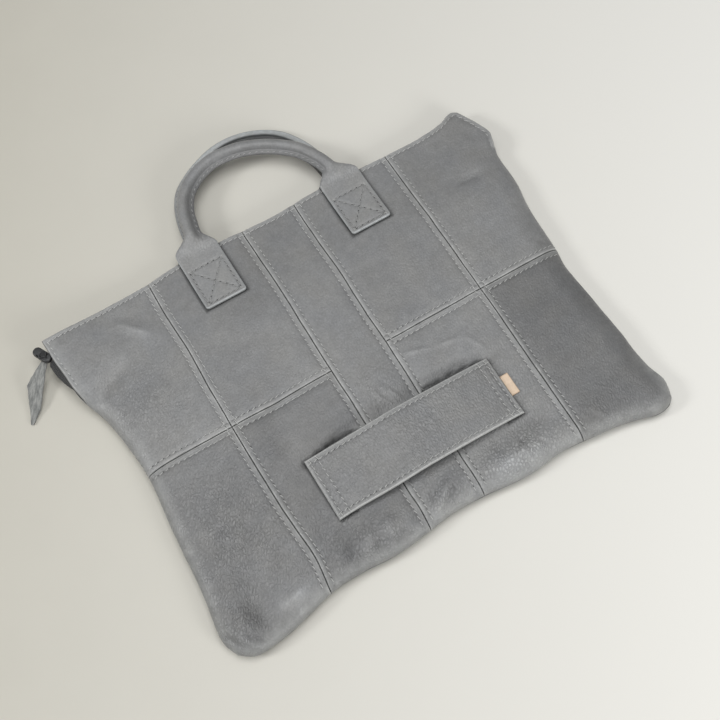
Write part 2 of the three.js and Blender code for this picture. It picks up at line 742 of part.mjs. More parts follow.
// Leaf-shaped strip of suede along the pull's own direction
function zipPull() {
  const eye = new THREE.Vector3(PULL_EYE.x, PULL_EYE.y, 0);
  const route = PULL_STATIONS.map(({ along, z }) => {
    return eye.clone().addScaledVector(PULL_DIRECTION, along).setZ(z);
  });
  const path = new THREE.CatmullRomCurve3(route, false, "centripetal");
  const sideways = PULL_DIRECTION.clone().cross(UP);
  const rings = route.map((centre, index) => {
    const travel = path.getTangent(index / (route.length - 1));
    const face = sideways.clone().cross(travel);
    const { halfWidth, lean } = PULL_STATIONS[index];
    return [
      { side: 1, high: -1 },
      { side: 1, high: 1 },
      { side: -1, high: 1 },
      { side: -1, high: -1 },
    ].map(({ side, high }) =>
      centre
        .clone()
        .addScaledVector(sideways, side * halfWidth + lean)
        .addScaledVector(face, (high * PULL_THICKNESS) / 2),
    );
  });
  return piece("zip_pull", loft(rings), SUEDE);
}

// The pouch
const pouch = new THREE.Group();
pouch.name = "laptop_pouch";

const front = new THREE.Group();
[
  { column: 0, side: "left_outer" },
  { column: 1, side: "left_inner" },
  { column: 3, side: "right_inner" },
  { column: 4, side: "right_outer" },
].forEach(({ column, side }) => {
  front.add(frontPanel(`front_bottom_${side}`, column, [LOWER]));
  front.add(frontPanel(`front_top_${side}`, column, [UPPER]));
});
front.add(frontPanel("front_centre_strip", 2, [LOWER, UPPER]));

const zip = new THREE.Group();
zip.add(zipTape(), zipCoil(), zipSlider(), zipPull());

pouch.add(front, backPanel(), zip, frontHandle(), backHandle());
pouch.add(laidPiece("trolley_strap", STRAP, strapUnderside, LEATHER), labelTab());

export default pouch;
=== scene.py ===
"""Looks of a soft grey leather laptop pouch that lies on its back with its front up.

The pouch's sizes are in millimetres in its own frame: +X across it, +Y from its bottom seam to the zip and
+Z up. Meshes are made in metres in the same frame, each in its place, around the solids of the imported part.
"""

import logging
import math
from collections.abc import Callable, Mapping, Sequence
from dataclasses import dataclass
from enum import Enum
from functools import cached_property
from typing import Any

import bmesh
import bpy
import numpy as np
from mathutils import Matrix, Vector


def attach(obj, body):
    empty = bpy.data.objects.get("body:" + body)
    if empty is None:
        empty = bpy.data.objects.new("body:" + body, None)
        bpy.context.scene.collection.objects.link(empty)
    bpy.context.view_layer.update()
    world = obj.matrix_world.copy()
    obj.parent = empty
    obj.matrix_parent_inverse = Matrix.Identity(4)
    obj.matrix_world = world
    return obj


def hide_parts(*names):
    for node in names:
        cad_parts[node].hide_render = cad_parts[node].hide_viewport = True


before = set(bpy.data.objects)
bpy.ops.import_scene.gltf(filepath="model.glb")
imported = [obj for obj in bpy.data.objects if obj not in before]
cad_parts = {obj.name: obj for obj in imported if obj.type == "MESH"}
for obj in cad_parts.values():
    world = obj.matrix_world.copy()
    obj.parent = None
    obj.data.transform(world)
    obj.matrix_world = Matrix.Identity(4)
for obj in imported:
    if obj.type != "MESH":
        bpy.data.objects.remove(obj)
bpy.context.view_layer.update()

Array = np.ndarray
Row = tuple[float, ...]
Layers = dict[str, Array]
Piece = bpy.types.Object
Material = bpy.types.Material
Tree = bpy.types.NodeTree
Node = bpy.types.Node
Socket = bpy.types.NodeSocket
Sockets = bpy.types.NodeOutputs

LOG = logging.getLogger("laptop_pouch")
MM = 0.001
BODY = "root"
UP = np.array((0.0, 0.0, 1.0))
FAR = 1e3
LEATHER_SHARP = 62
NYLON_SHARP = 40
WELD = 1e-6


def smooth(value: Array | float, low: float, high: float) -> Array:
    """Rises gently from 0 at low to 1 at high.

    Args:
        value: Where to read the step.
        low: Where it leaves 0.
        high: Where it reaches 1.

    Returns:
        The share at each value.
    """
    share = np.clip((value - low) / (high - low), 0.0, 1.0)
    return share * share * (3.0 - 2.0 * share)


def rounding(share: Array) -> Array:
    """Quarter of an ellipse: 0 at an edge, 1 where the rounding ends."""
    return np.sqrt(1.0 - (1.0 - np.clip(share, 0.0, 1.0)) ** 2)


def hump(value: Array, centre: float, reach: float) -> Array:
    """Bell that is 1 at its centre and falls away over its reach."""
    return np.exp(-(((value - centre) / reach) ** 2))


def between(start: Array | float, end: Array | float, share: Array | float) -> Array:
    """Point at a share of the way from start to end."""
    return start + (end - start) * share


def unit(vectors: Array) -> Array:
    """Vectors along the last axis, at length 1."""
    return vectors / np.maximum(np.linalg.norm(vectors, axis=-1, keepdims=True), 1e-9)


class Curve:
    """Smooth curve through the rows of a table, read by its share of length."""

    SAMPLES = 48

    def __init__(self, rows: Sequence[Row]) -> None:
        """Samples the curve closely.

        Args:
            rows: Points that the curve goes through.
        """
        knots = np.array(rows, float)
        ends = np.vstack([2 * knots[0] - knots[1], knots, 2 * knots[-1] - knots[-2]])
        stretches = [self._stretch(ends[i : i + 4]) for i in range(len(knots) - 1)]
        self.points = np.vstack([*stretches, knots[-1:]])
        steps = np.linalg.norm(np.diff(self.points, axis=0), axis=1)
        self.reach = np.concatenate([[0.0], np.cumsum(steps)])
        self.length = float(self.reach[-1])

    def _stretch(self, four: Array) -> Array:
        """Points between the middle two of four knots, the last one left out.

        Args:
            four: The knots.

        Returns:
            The points.
        """
        before, start, end, after = four
        gap_in, gap, gap_out = np.sqrt(np.linalg.norm(np.diff(four, axis=0), axis=1))
        leave = (start - before) / gap_in - (end - before) / (gap_in + gap) + (end - start) / gap
        arrive = (end - start) / gap - (after - start) / (gap + gap_out) + (after - end) / gap_out
        leave, arrive = leave * gap, arrive * gap
        t = np.linspace(0.0, 1.0, self.SAMPLES, endpoint=False)[:, None]
        square = -3 * start + 3 * end - 2 * leave - arrive
        cube = 2 * start - 2 * end + leave + arrive
        return start + leave * t + square * t**2 + cube * t**3

    def at(self, share: Array | float) -> Array:
        """Points at shares of the curve's length."""
        reach = np.asarray(share, float) * self.length
        return np.stack([np.interp(reach, self.reach, column) for column in self.points.T], axis=-1)

    def tangent(self, share: Array) -> Array:
        """Directions of travel.

        Args:
            share: Shares of the curve's length.

        Returns:
            The directions, at length 1.
        """
        step = 0.5 / self.length
        ahead = self.at(np.clip(share + step, 0.0, 1.0))
        return unit(ahead - self.at(np.clip(share - step, 0.0, 1.0)))

    def share_where(self, axis: int, value: float) -> float:
        """Share of the length at which a rising coordinate reaches a value."""
        return float(np.interp(value, self.points[:, axis], self.reach)) / self.length


class Noise:
    """Smooth noise in plan, from a seeded table of random heights."""

    SIDE = 64

    def __init__(self, seed: int) -> None:
        """Draws the table.

        Args:
            seed: Start of the random draws.
        """
        self.table = np.random.default_rng(seed).uniform(-1.0, 1.0, (self.SIDE, self.SIDE))

    def at(self, x: Array, y: Array, wave_x: float, wave_y: float | None = None) -> Array:
        """Noise from -1 to 1.

        Args:
            x, y: Places across and up.
            wave_x: Size of one swell across.
            wave_y: Size of one swell up, the same as across if left out.

        Returns:
            The noise at each place.
        """
        u, v = x / wave_x, y / (wave_y or wave_x)
        i, j = np.floor(u).astype(int), np.floor(v).astype(int)
        s, t = smooth(u - i, 0.0, 1.0), smooth(v - j, 0.0, 1.0)
        sides = np.stack([i, i + 1]) % self.SIDE
        near, far = (between(*self.table[sides, (j + step) % self.SIDE], s) for step in (0, 1))
        return between(near, far, t)


def waves(x: Array, y: Array, rows: Sequence[Row]) -> Array:
    """Adds up noises.

    Args:
        x, y: Places across and up.
        rows: Seed, height and size of a swell of each noise, or its two sizes.

    Returns:
        The sum at each place.
    """
    return sum(height * Noise(int(seed)).at(x, y, *sizes) for seed, height, *sizes in rows)


def leftward(run: Array) -> Array:
    """Ways in plan at a quarter turn to the left of other ways."""
    return np.stack([-run[..., 1], run[..., 0]], axis=-1)


def stations(length: float, cell: float, start: Row, end: Row) -> Array:
    """Shares of a length where a mesh has a line: close at its borders, even between them.

    Args:
        length: Length across the mesh.
        cell: Distance between the even lines.
        start: Distances of the first lines from the start.
        end: Distances of the last lines from the end.

    Returns:
        The shares, in order.
    """
    count = max(2, round((length - start[-1] - end[-1]) / cell))
    even = np.linspace(start[-1], length - end[-1], count + 1)[1:-1]
    return np.concatenate([start, even, length - np.array(end)[::-1]]) / length


def add_node(tree: Tree, kind: str, inputs: Mapping[Any, Any] | None = None, **settings: Any) -> Node:
    """Adds one node with its settings and links.

    Args:
        tree: Tree that the node goes into.
        kind: Blender's name of the node.
        inputs: Value, socket or node for each input, by the input's name or number.
        settings: Properties of the node.

    Returns:
        The new node.
    """
    node = tree.nodes.new(kind)
    for name, value in settings.items():
        setattr(node, name, value)
    for key, value in (inputs or {}).items():
        if isinstance(value, Node):
            value = value.outputs[0]
        if isinstance(value, Socket):
            tree.links.new(value, node.inputs[key])
        else:
            node.inputs[key].default_value = value
    return node


def linear(hex_colour: str) -> tuple[float, float, float, float]:
    """Turns an sRGB colour to linear light.

    Args:
        hex_colour: The colour, as a hash sign and six hex digits.

    Returns:
        Red, green, blue and full alpha.
    """
    shares = [int(hex_colour[i : i + 2], 16) / 255 for i in (1, 3, 5)]
    red, green, blue = (s / 12.92 if s <= 0.04045 else ((s + 0.055) / 1.055) ** 2.4 for s in shares)
    return red, green, blue, 1.0


def per_metre(millimetres: float) -> float:
    """Scale of a pattern in metres whose repeat is a size in millimetres."""
    return 1.0 / (millimetres * MM)


def new_material(name: str) -> tuple[Material, Tree]:
    """Makes an empty node material.

    Args:
        name: Name of the real material.

    Returns:
        The material and its tree.
    """
    material = bpy.data.materials.new(name)
    material.use_nodes = True
    material.node_tree.nodes.clear()
    return material, material.node_tree


def close_material(tree: Tree, inputs: Mapping[str, Any]) -> None:
    """Ends a material's tree with one shader that has these inputs."""
    shader = add_node(tree, "ShaderNodeBsdfPrincipled", inputs)
    add_node(tree, "ShaderNodeOutputMaterial", {"Surface": shader})


def coated(tree: Tree, base: str | Socket, *coats: tuple[Any, str]) -> Socket:
    """Lays colours one over the other.

    Args:
        tree: Tree of the material.
        base: Colour at the bottom, in hex or as a socket.
        coats: Share and hex colour of each coat over it.

    Returns:
        Socket of the colour.
    """
    colour = linear(base) if isinstance(base, str) else base
    for share, over in coats:
        inputs = {0: share, 6: colour, 7: linear(over)}
        colour = add_node(tree, "ShaderNodeMix", inputs, data_type="RGBA").outputs[2]
    return colour


def carried(tree: Tree, names: Sequence[str]) -> dict[str, Socket]:
    """Numbers that a mesh carries at each of its points, by name."""
    return {name: add_node(tree, "ShaderNodeAttribute", attribute_name=name).outputs["Fac"] for name in names}


def stretched(tree: Tree, sizes: Row, turn: float = 0.0) -> Node:
    """Object coordinates in units of a pattern's sizes along each axis.

    Args:
        tree: Tree of the material.
        sizes: Pattern's size along each axis, in millimetres.
        turn: Turn of the pattern about the upright, in degrees.

    Returns:
        The mapping node.
    """
    places = add_node(tree, "ShaderNodeTexCoord").outputs["Object"]
    turned = add_node(tree, "ShaderNodeMapping", {"Vector": places, "Rotation": (0, 0, math.radians(turn))})
    return add_node(tree, "ShaderNodeMapping", {"Vector": turned, "Scale": [per_metre(s) for s in sizes]})


@dataclass(frozen=True)
class Leather:
    """Soft cow leather with a finished grain: a cloudy dye, fine pores, wrinkles, pebbles and a satin sheen.

    Points of its meshes carry tone (dye, with painted highlight on crests and painted shade in hollows),
    wear (rubbed edges, and painted highlight beside grooves and along the lower rim),
    soil (painted shade in grooves, needle holes, gaps and round sewn-on pieces, and darker cut
    edges), crumple (how far the grain is pressed into wrinkles) and pebble (how far it is pressed into
    pebbles).
    """

    name: str
    warm: str
    cool: str
    # Colour of rubbed edges and of painted highlights.
    worn: str
    soiled: str
    roughness: float = 0.4
    cloud: float = 26.0
    mottle: float = 7.0
    fleck: float = 1.7
    pore: float = 1.5
    pore_depth: float = 0.26
    pebble: float = 2.4
    pebble_depth: float = 0.42
    warp: float = 5.0
    wrinkle_width: float = 2.1
    wrinkle_length: float = 4.4
    wrinkle_turn: float = 31.0
    wrinkle_depth: float = 0.4
    pebble_painted_light: float = 0.4
    wrinkle_painted_light: float = 0.24
    cell_edge: float = 0.34
    cell_middle: float = 0.6
    dull_patch: float = 9.0
    grain_sheen: float = 0.08

    def material(self) -> Material:
        """Builds the node material.

        Returns:
            The material.
        """
        material, tree = new_material(self.name)
        layers = carried(tree, ("tone", "wear", "soil", "crumple", "pebble"))
        pebbles = self._cells(tree, (self.pebble, self.pebble * 1.4, self.pebble), layers["pebble"])
        sizes = (self.wrinkle_width, self.wrinkle_length, self.wrinkle_width)
        folds = self._cells(tree, sizes, layers["crumple"])
        # Painted highlight on the tops of pebbles and wrinkles, and painted shade in the creases between
        # them.
        grain = 1.0
        for (_, uneven), groove in ((pebbles, self.pebble_painted_light), (folds, self.wrinkle_painted_light)):
            inputs = {0: uneven, 1: groove, 2: grain}
            grain = add_node(tree, "ShaderNodeMath", inputs, operation="MULTIPLY_ADD")
        inputs = {
            "Base Color": self._colour(tree, layers, grain),
            "Roughness": self._roughness(tree, layers),
            "Normal": self._relief(tree, pebbles[0], folds[0]),
            "IOR": 1.47,
        }
        close_material(tree, inputs)
        return material

    def _noise(self, tree: Tree, size: float, low: float, high: float) -> Node:
        """Noise of a size, spread over a range of values.

        Args:
            tree: Tree of the material.
            size: Size of the pattern, in millimetres.
            low: Value in its hollows.
            high: Value on its tops.

        Returns:
            Node that gives the value.
        """
        inputs = {"Vector": stretched(tree, (size,) * 3), "Scale": 1.0, "Detail": 3.0}
        noise = add_node(tree, "ShaderNodeTexNoise", inputs)
        spread = {"Value": noise, "From Min": 0.32, "From Max": 0.68, "To Min": low, "To Max": high}
        return add_node(tree, "ShaderNodeMapRange", spread)

    def _colour(self, tree: Tree, layers: Mapping[str, Socket], grain: Node) -> Socket:
        """Dye in warm and cool clouds, with painted highlight and shade on the grain, lighter where rubbed or
        painted as highlight, and darker at cut edges and where painted as shade.

        Args:
            tree: Tree of the material.
            layers: Numbers that the mesh carries.
            grain: How pale the dye is on the grain, 1 on the whole: painted highlight on the tops, painted
                shade in the creases.

        Returns:
            Socket of the colour.
        """
        colour = coated(tree, self.warm, (self._noise(tree, self.cloud, 0.0, 1.0), self.cool))
        mottle = self._noise(tree, self.mottle, 0.94, 1.06)
        flecks = self._noise(tree, self.fleck, 0.92, 1.08)
        value = layers["tone"]
        for factor in (mottle, flecks, grain):
            value = add_node(tree, "ShaderNodeMath", {0: value, 1: factor}, operation="MULTIPLY")
        dyed = add_node(tree, "ShaderNodeHueSaturation", {"Color": colour, "Value": value})
        # Light coat: rubbed edges and painted highlight; dark coat: dark cut edges and painted shade.
        return coated(tree, dyed.outputs[0], (layers["wear"], self.worn), (layers["soil"], self.soiled))

    def _roughness(self, tree: Tree, layers: Mapping[str, Socket]) -> Node:
        """Satin where the grain is stretched over pebbles and wrinkles, duller in patches elsewhere.

        Args:
            tree: Tree of the material.
            layers: Numbers that the mesh carries.

        Returns:
            Node that gives the roughness.
        """
        dull = self._noise(tree, self.dull_patch, self.roughness - 0.05, self.roughness + 0.07)
        inputs = {0: layers["pebble"], 1: layers["crumple"]}
        grain = add_node(tree, "ShaderNodeMath", inputs, operation="MAXIMUM")
        inputs = {0: grain, 1: -self.grain_sheen, 2: dull}
        return add_node(tree, "ShaderNodeMath", inputs, operation="MULTIPLY_ADD")

    def _cells(self, tree: Tree, sizes: Row, strength: Socket) -> tuple[Node, Node]:
        """Rounded cells of grain with creases between them, warped so that no two are alike.

        Args:
            tree: Tree of the material.
            sizes: Size of a cell along each axis, in millimetres.
            strength: Socket of the cells' strength.

        Returns:
            Nodes that give the height above the creases, and the height about its middle, which the colour
            uses as painted highlight and shade.
        """
        plan = stretched(tree, (self.warp,) * 3)
        warp = add_node(tree, "ShaderNodeTexNoise", {"Vector": plan, "Scale": 1.0})
        inputs = {0: warp.outputs["Color"], 1: stretched(tree, sizes, self.wrinkle_turn)}
        bent = add_node(tree, "ShaderNodeVectorMath", inputs, operation="ADD")
        inputs = {"Vector": bent, "Scale": 1.0}
        cells = add_node(tree, "ShaderNodeTexVoronoi", inputs, feature="DISTANCE_TO_EDGE")
        spread = {"Value": cells.outputs["Distance"], "From Max": self.cell_edge}
        share = add_node(tree, "ShaderNodeMapRange", spread, interpolation_type="SMOOTHSTEP")
        height = add_node(tree, "ShaderNodeMath", {0: share, 1: strength}, operation="MULTIPLY")
        inputs = {0: strength, 1: -self.cell_middle, 2: height}
        return height, add_node(tree, "ShaderNodeMath", inputs, operation="MULTIPLY_ADD")

    def _relief(self, tree: Tree, pebbles: Node, folds: Node) -> Node:
        """Pores, pebbles and wrinkles, drawn a little coarser than real ones so that they show.

        Args:
            tree: Tree of the material.
            pebbles: Height of the pebbles.
            folds: Height of the wrinkles.

        Returns:
            Node that gives the bent normal.
        """
        plan = stretched(tree, (self.pore,) * 3)
        inputs = {"Vector": plan, "Scale": 1.0, "Detail": 2.0, "Roughness": 0.6}
        pores = add_node(tree, "ShaderNodeTexNoise", inputs)
        relief = None
        depths = (self.pore_depth, self.pebble_depth, self.wrinkle_depth)
        for height, depth in zip((pores, pebbles, folds), depths):
            inputs = {"Height": height, "Strength": 1.0, "Distance": depth * MM}
            relief = add_node(tree, "ShaderNodeBump", {**inputs, "Normal": relief} if relief else inputs)
        return relief


@dataclass(frozen=True)
class Suede:
    """Split leather with its nap out: matt, streaked along its length, darker at its torn edges, with painted
    shade on its loop in the slider's eye.
    """

    name: str = "grey split suede"
    colour: str = "#969794"
    streak: str = "#696b6a"
    edge: str = "#6d6f6f"
    shaded: str = "#2a2b2c"
    streak_width: float = 1.6
    streak_length: float = 22.0
    nap: float = 0.5
    turn: float = 0.0

    def material(self) -> Material:
        """Builds the node material.

        Returns:
            The material.
        """
        material, tree = new_material(self.name)
        layers = carried(tree, ("soil", "shade"))
        plan = stretched(tree, (self.streak_width, self.streak_length, self.streak_width), self.turn)
        inputs = {"Vector": plan, "Scale": 1.0, "Detail": 4.0, "Roughness": 0.65}
        streaks = add_node(tree, "ShaderNodeTexNoise", inputs)
        share = add_node(tree, "ShaderNodeMapRange", {"Value": streaks, "From Min": 0.38, "From Max": 0.66})
        inputs = {"Height": streaks, "Strength": 1.0, "Distance": self.nap * MM}
        nap = add_node(tree, "ShaderNodeBump", inputs)
        coats = ((share, self.streak), (layers["soil"], self.edge), (layers["shade"], self.shaded))
        inputs = {
            "Base Color": coated(tree, self.colour, *coats),
            "Roughness": 0.95,
            "Normal": nap,
            "IOR": 1.4,
            "Sheen Weight": 0.35,
            "Sheen Roughness": 0.5,
        }
        close_material(tree, inputs)
        return material


@dataclass(frozen=True)
class Woven:
    """Woven polyester tape: matt, with a fine rib across it."""

    name: str = "woven polyester tape"
    colour: str = "#1e1f20"
    light: str = "#37383a"
    rib: float = 1.1
    relief: float = 0.2

    def material(self) -> Material:
        """Builds the node material.

        Returns:
            The material.
        """
        material, tree = new_material(self.name)
        inputs = {"Vector": stretched(tree, (self.rib,) * 3), "Scale": 1.0, "Distortion": 0.4}
        ribs = add_node(tree, "ShaderNodeTexWave", inputs).outputs["Fac"]
        relief = add_node(tree, "ShaderNodeBump", {"Height": ribs, "Distance": self.relief * MM})
        colour = coated(tree, self.colour, (ribs, self.light))
        close_material(tree, {"Base Color": colour, "Roughness": 0.85, "Normal": relief, "Sheen Weight": 0.2})
        return material


@dataclass(frozen=True)
class Moulded:
    """Smooth moulded or spun stuff, such as nylon or waxed thread: an even colour with a faint mottle."""

    name: str
    colour: str
    second: str
    roughness: float
    mottle: float = 1.2
    relief: float = 0.08

    def material(self) -> Material:
        """Builds the node material.

        Returns:
            The material.
        """
        material, tree = new_material(self.name)
        inputs = {"Vector": stretched(tree, (self.mottle,) * 3), "Scale": 1.0, "Detail": 3.0}
        spots = add_node(tree, "ShaderNodeTexNoise", inputs)
        relief = add_node(tree, "ShaderNodeBump", {"Height": spots, "Distance": self.relief * MM})
        colour = coated(tree, self.colour, (spots, self.second))
        close_material(tree, {"Base Color": colour, "Roughness": self.roughness, "Normal": relief})
        return material


class Finish(Enum):
    """Finishes of the pouch."""

    PANEL = Leather("grey cow leather", "#828281", "#7f8081", "#bcbdbb", "#262727")
    HANDLE = Leather(
        "grey rolled cow leather", "#828281", "#7f8081", "#b8bcbd", "#262727", wrinkle_depth=0.25
    )
    STRAP = Leather("grey folded cow leather", "#828281", "#7f8081", "#bcbdbb", "#262727", wrinkle_turn=0.0)
    LABEL = Leather(
        "tan vegetable leather",
        "#d8c2ab",
        "#d0b79c",
        "#dccbb8",
        "#8a6a4a",
        roughness=0.6,
        pore=0.8,
        pore_depth=0.05,
        mottle=5.0,
    )
    SUEDE = Suede(turn=39.6)
    TAPE = Woven()
    NYLON = Moulded("black moulded nylon", "#2b2c2d", "#38393a", 0.42)
    THREAD = Moulded("waxed grey thread", "#d3d4d1", "#c0c1be", 0.6)
    WORN_THREAD = Moulded("worn grey thread", "#b2b3b1", "#9fa09e", 0.7)
    # Dark bars sunk at the needle holes: painted shade in each hole.
    HOLE = Moulded("needle hole painted shade", "#39393a", "#2c2c2d", 0.8)

    @cached_property
    def material(self) -> Material:
        """The finish's material, made once."""
        return self.value.material()


def put(name: str, data: Any) -> Piece:
    """Puts an object in the scene.

    Args:
        name: Name of the object.
        data: Its mesh, curve, camera or light.

    Returns:
        The object.
    """
    thing = bpy.data.objects.new(name, data)
    bpy.context.scene.collection.objects.link(thing)
    return thing


def close_mesh(name: str, mesh: bpy.types.Mesh, sharp: float, weld: float = 0.0) -> Piece:
    """Turns a mesh's faces outward and puts it in the scene.

    Args:
        name: Name of the object.
        mesh: The mesh.
        sharp: Angle in degrees from which an edge is sharp.
        weld: Distance up to which points are joined, none if 0.

    Returns:
        The object.
    """
    work = bmesh.new()
    work.from_mesh(mesh)
    if weld:
        bmesh.ops.remove_doubles(work, verts=work.verts, dist=weld)
    bmesh.ops.recalc_face_normals(work, faces=work.faces)
    work.to_mesh(mesh)
    work.free()
    mesh.set_sharp_from_angle(angle=math.radians(sharp))
    return put(name, mesh)


def finish_mesh(name: str, points: Array, faces: Sequence[Sequence[int]], layers: Layers) -> Piece:
    """Makes a closed, smooth object from points in millimetres.

    Args:
        name: Name of the object.
        points: Points, one row each.
        faces: Corners of each face.
        layers: Number at each point, by name.

    Returns:
        The object, at the origin.
    """
    mesh = bpy.data.meshes.new(name)
    mesh.from_pydata((points * MM).tolist(), [], faces)
    for layer, values in layers.items():
        data = mesh.attributes.new(layer, "FLOAT", "POINT").data
        data.foreach_set("value", np.asarray(values, np.float32).ravel())
    mesh.polygons.foreach_set("use_smooth", [True] * len(mesh.polygons))
    return close_mesh(name, mesh, LEATHER_SHARP)


def slab(name: str, upper: Array, lower: Array, layers: Layers) -> Piece:
    """Closed wall between an upper and a lower grid of points.

    Args:
        name: Name of the object.
        upper: Rows of columns of points.
        lower: The same for the other face.
        layers: Number at each point of the upper grid, by name; the lower grid has the same.

    Returns:
        The object.
    """
    rows, columns = upper.shape[:2]
    index = np.arange(rows * columns).reshape(rows, columns)
    corners = [index[:-1, :-1], index[:-1, 1:], index[1:, 1:], index[1:, :-1]]
    top = np.stack([c.ravel() for c in corners], axis=1)
    border = np.concatenate([index[0, :-1], index[:-1, -1], index[-1, :0:-1], index[:0:-1, 0]])
    beyond = np.roll(border, -1)
    under = rows * columns
    walls = np.stack([border + under, beyond + under, beyond, border], axis=1)
    faces = np.concatenate([top, top[:, ::-1] + under, walls])
    points = np.concatenate([upper.reshape(-1, 3), lower.reshape(-1, 3)])
    doubled = {layer: np.tile(np.ravel(values), 2) for layer, values in layers.items()}
    return finish_mesh(name, points, faces.tolist(), doubled)


def loft(name: str, rings: Array, layers: Layers) -> Piece:
    """Closed tube through rings of points.

    Args:
        name: Name of the object.
        rings: Rings of points, one after the other.
        layers: Number at each point, by name.

    Returns:
        The object.
    """
    count, sides = rings.shape[:2]
    index = np.arange(count * sides).reshape(count, sides)
    beside = np.roll(index, -1, axis=1)
    walls = np.stack([index[:-1], beside[:-1], beside[1:], index[1:]], axis=-1).reshape(-1, 4)
    faces = walls.tolist()
    points = [rings.reshape(-1, 3)]
    extra = {layer: [np.ravel(values)] for layer, values in layers.items()}
    for order, end in enumerate((0, count - 1)):
        middle = count * sides + order
        points.append(rings[end].mean(axis=0)[None])
        faces += [[int(a), int(b), middle] for a, b in zip(index[end], beside[end])]
        for layer, values in layers.items():
            extra[layer].append([np.reshape(values, (count, sides))[end].mean()])
    joined = {layer: np.concatenate(values) for layer, values in extra.items()}
    return finish_mesh(name, np.concatenate(points), faces, joined)


def settle(thing: Piece, finish: Finish, slot: str | None, *nodes: str) -> None:
    """Gives a piece its finish and its place in the assembly.

    Args:
        thing: The piece.
        finish: Its finish.
        slot: Not used.
        nodes: Solids that the piece stands for.
    """
    if not thing.data.materials:
        thing.data.materials.append(finish.material)
    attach(thing, BODY)
    if nodes:
        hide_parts(*nodes)
    LOG.info("%s: %d faces", thing.name, len(thing.data.polygons))


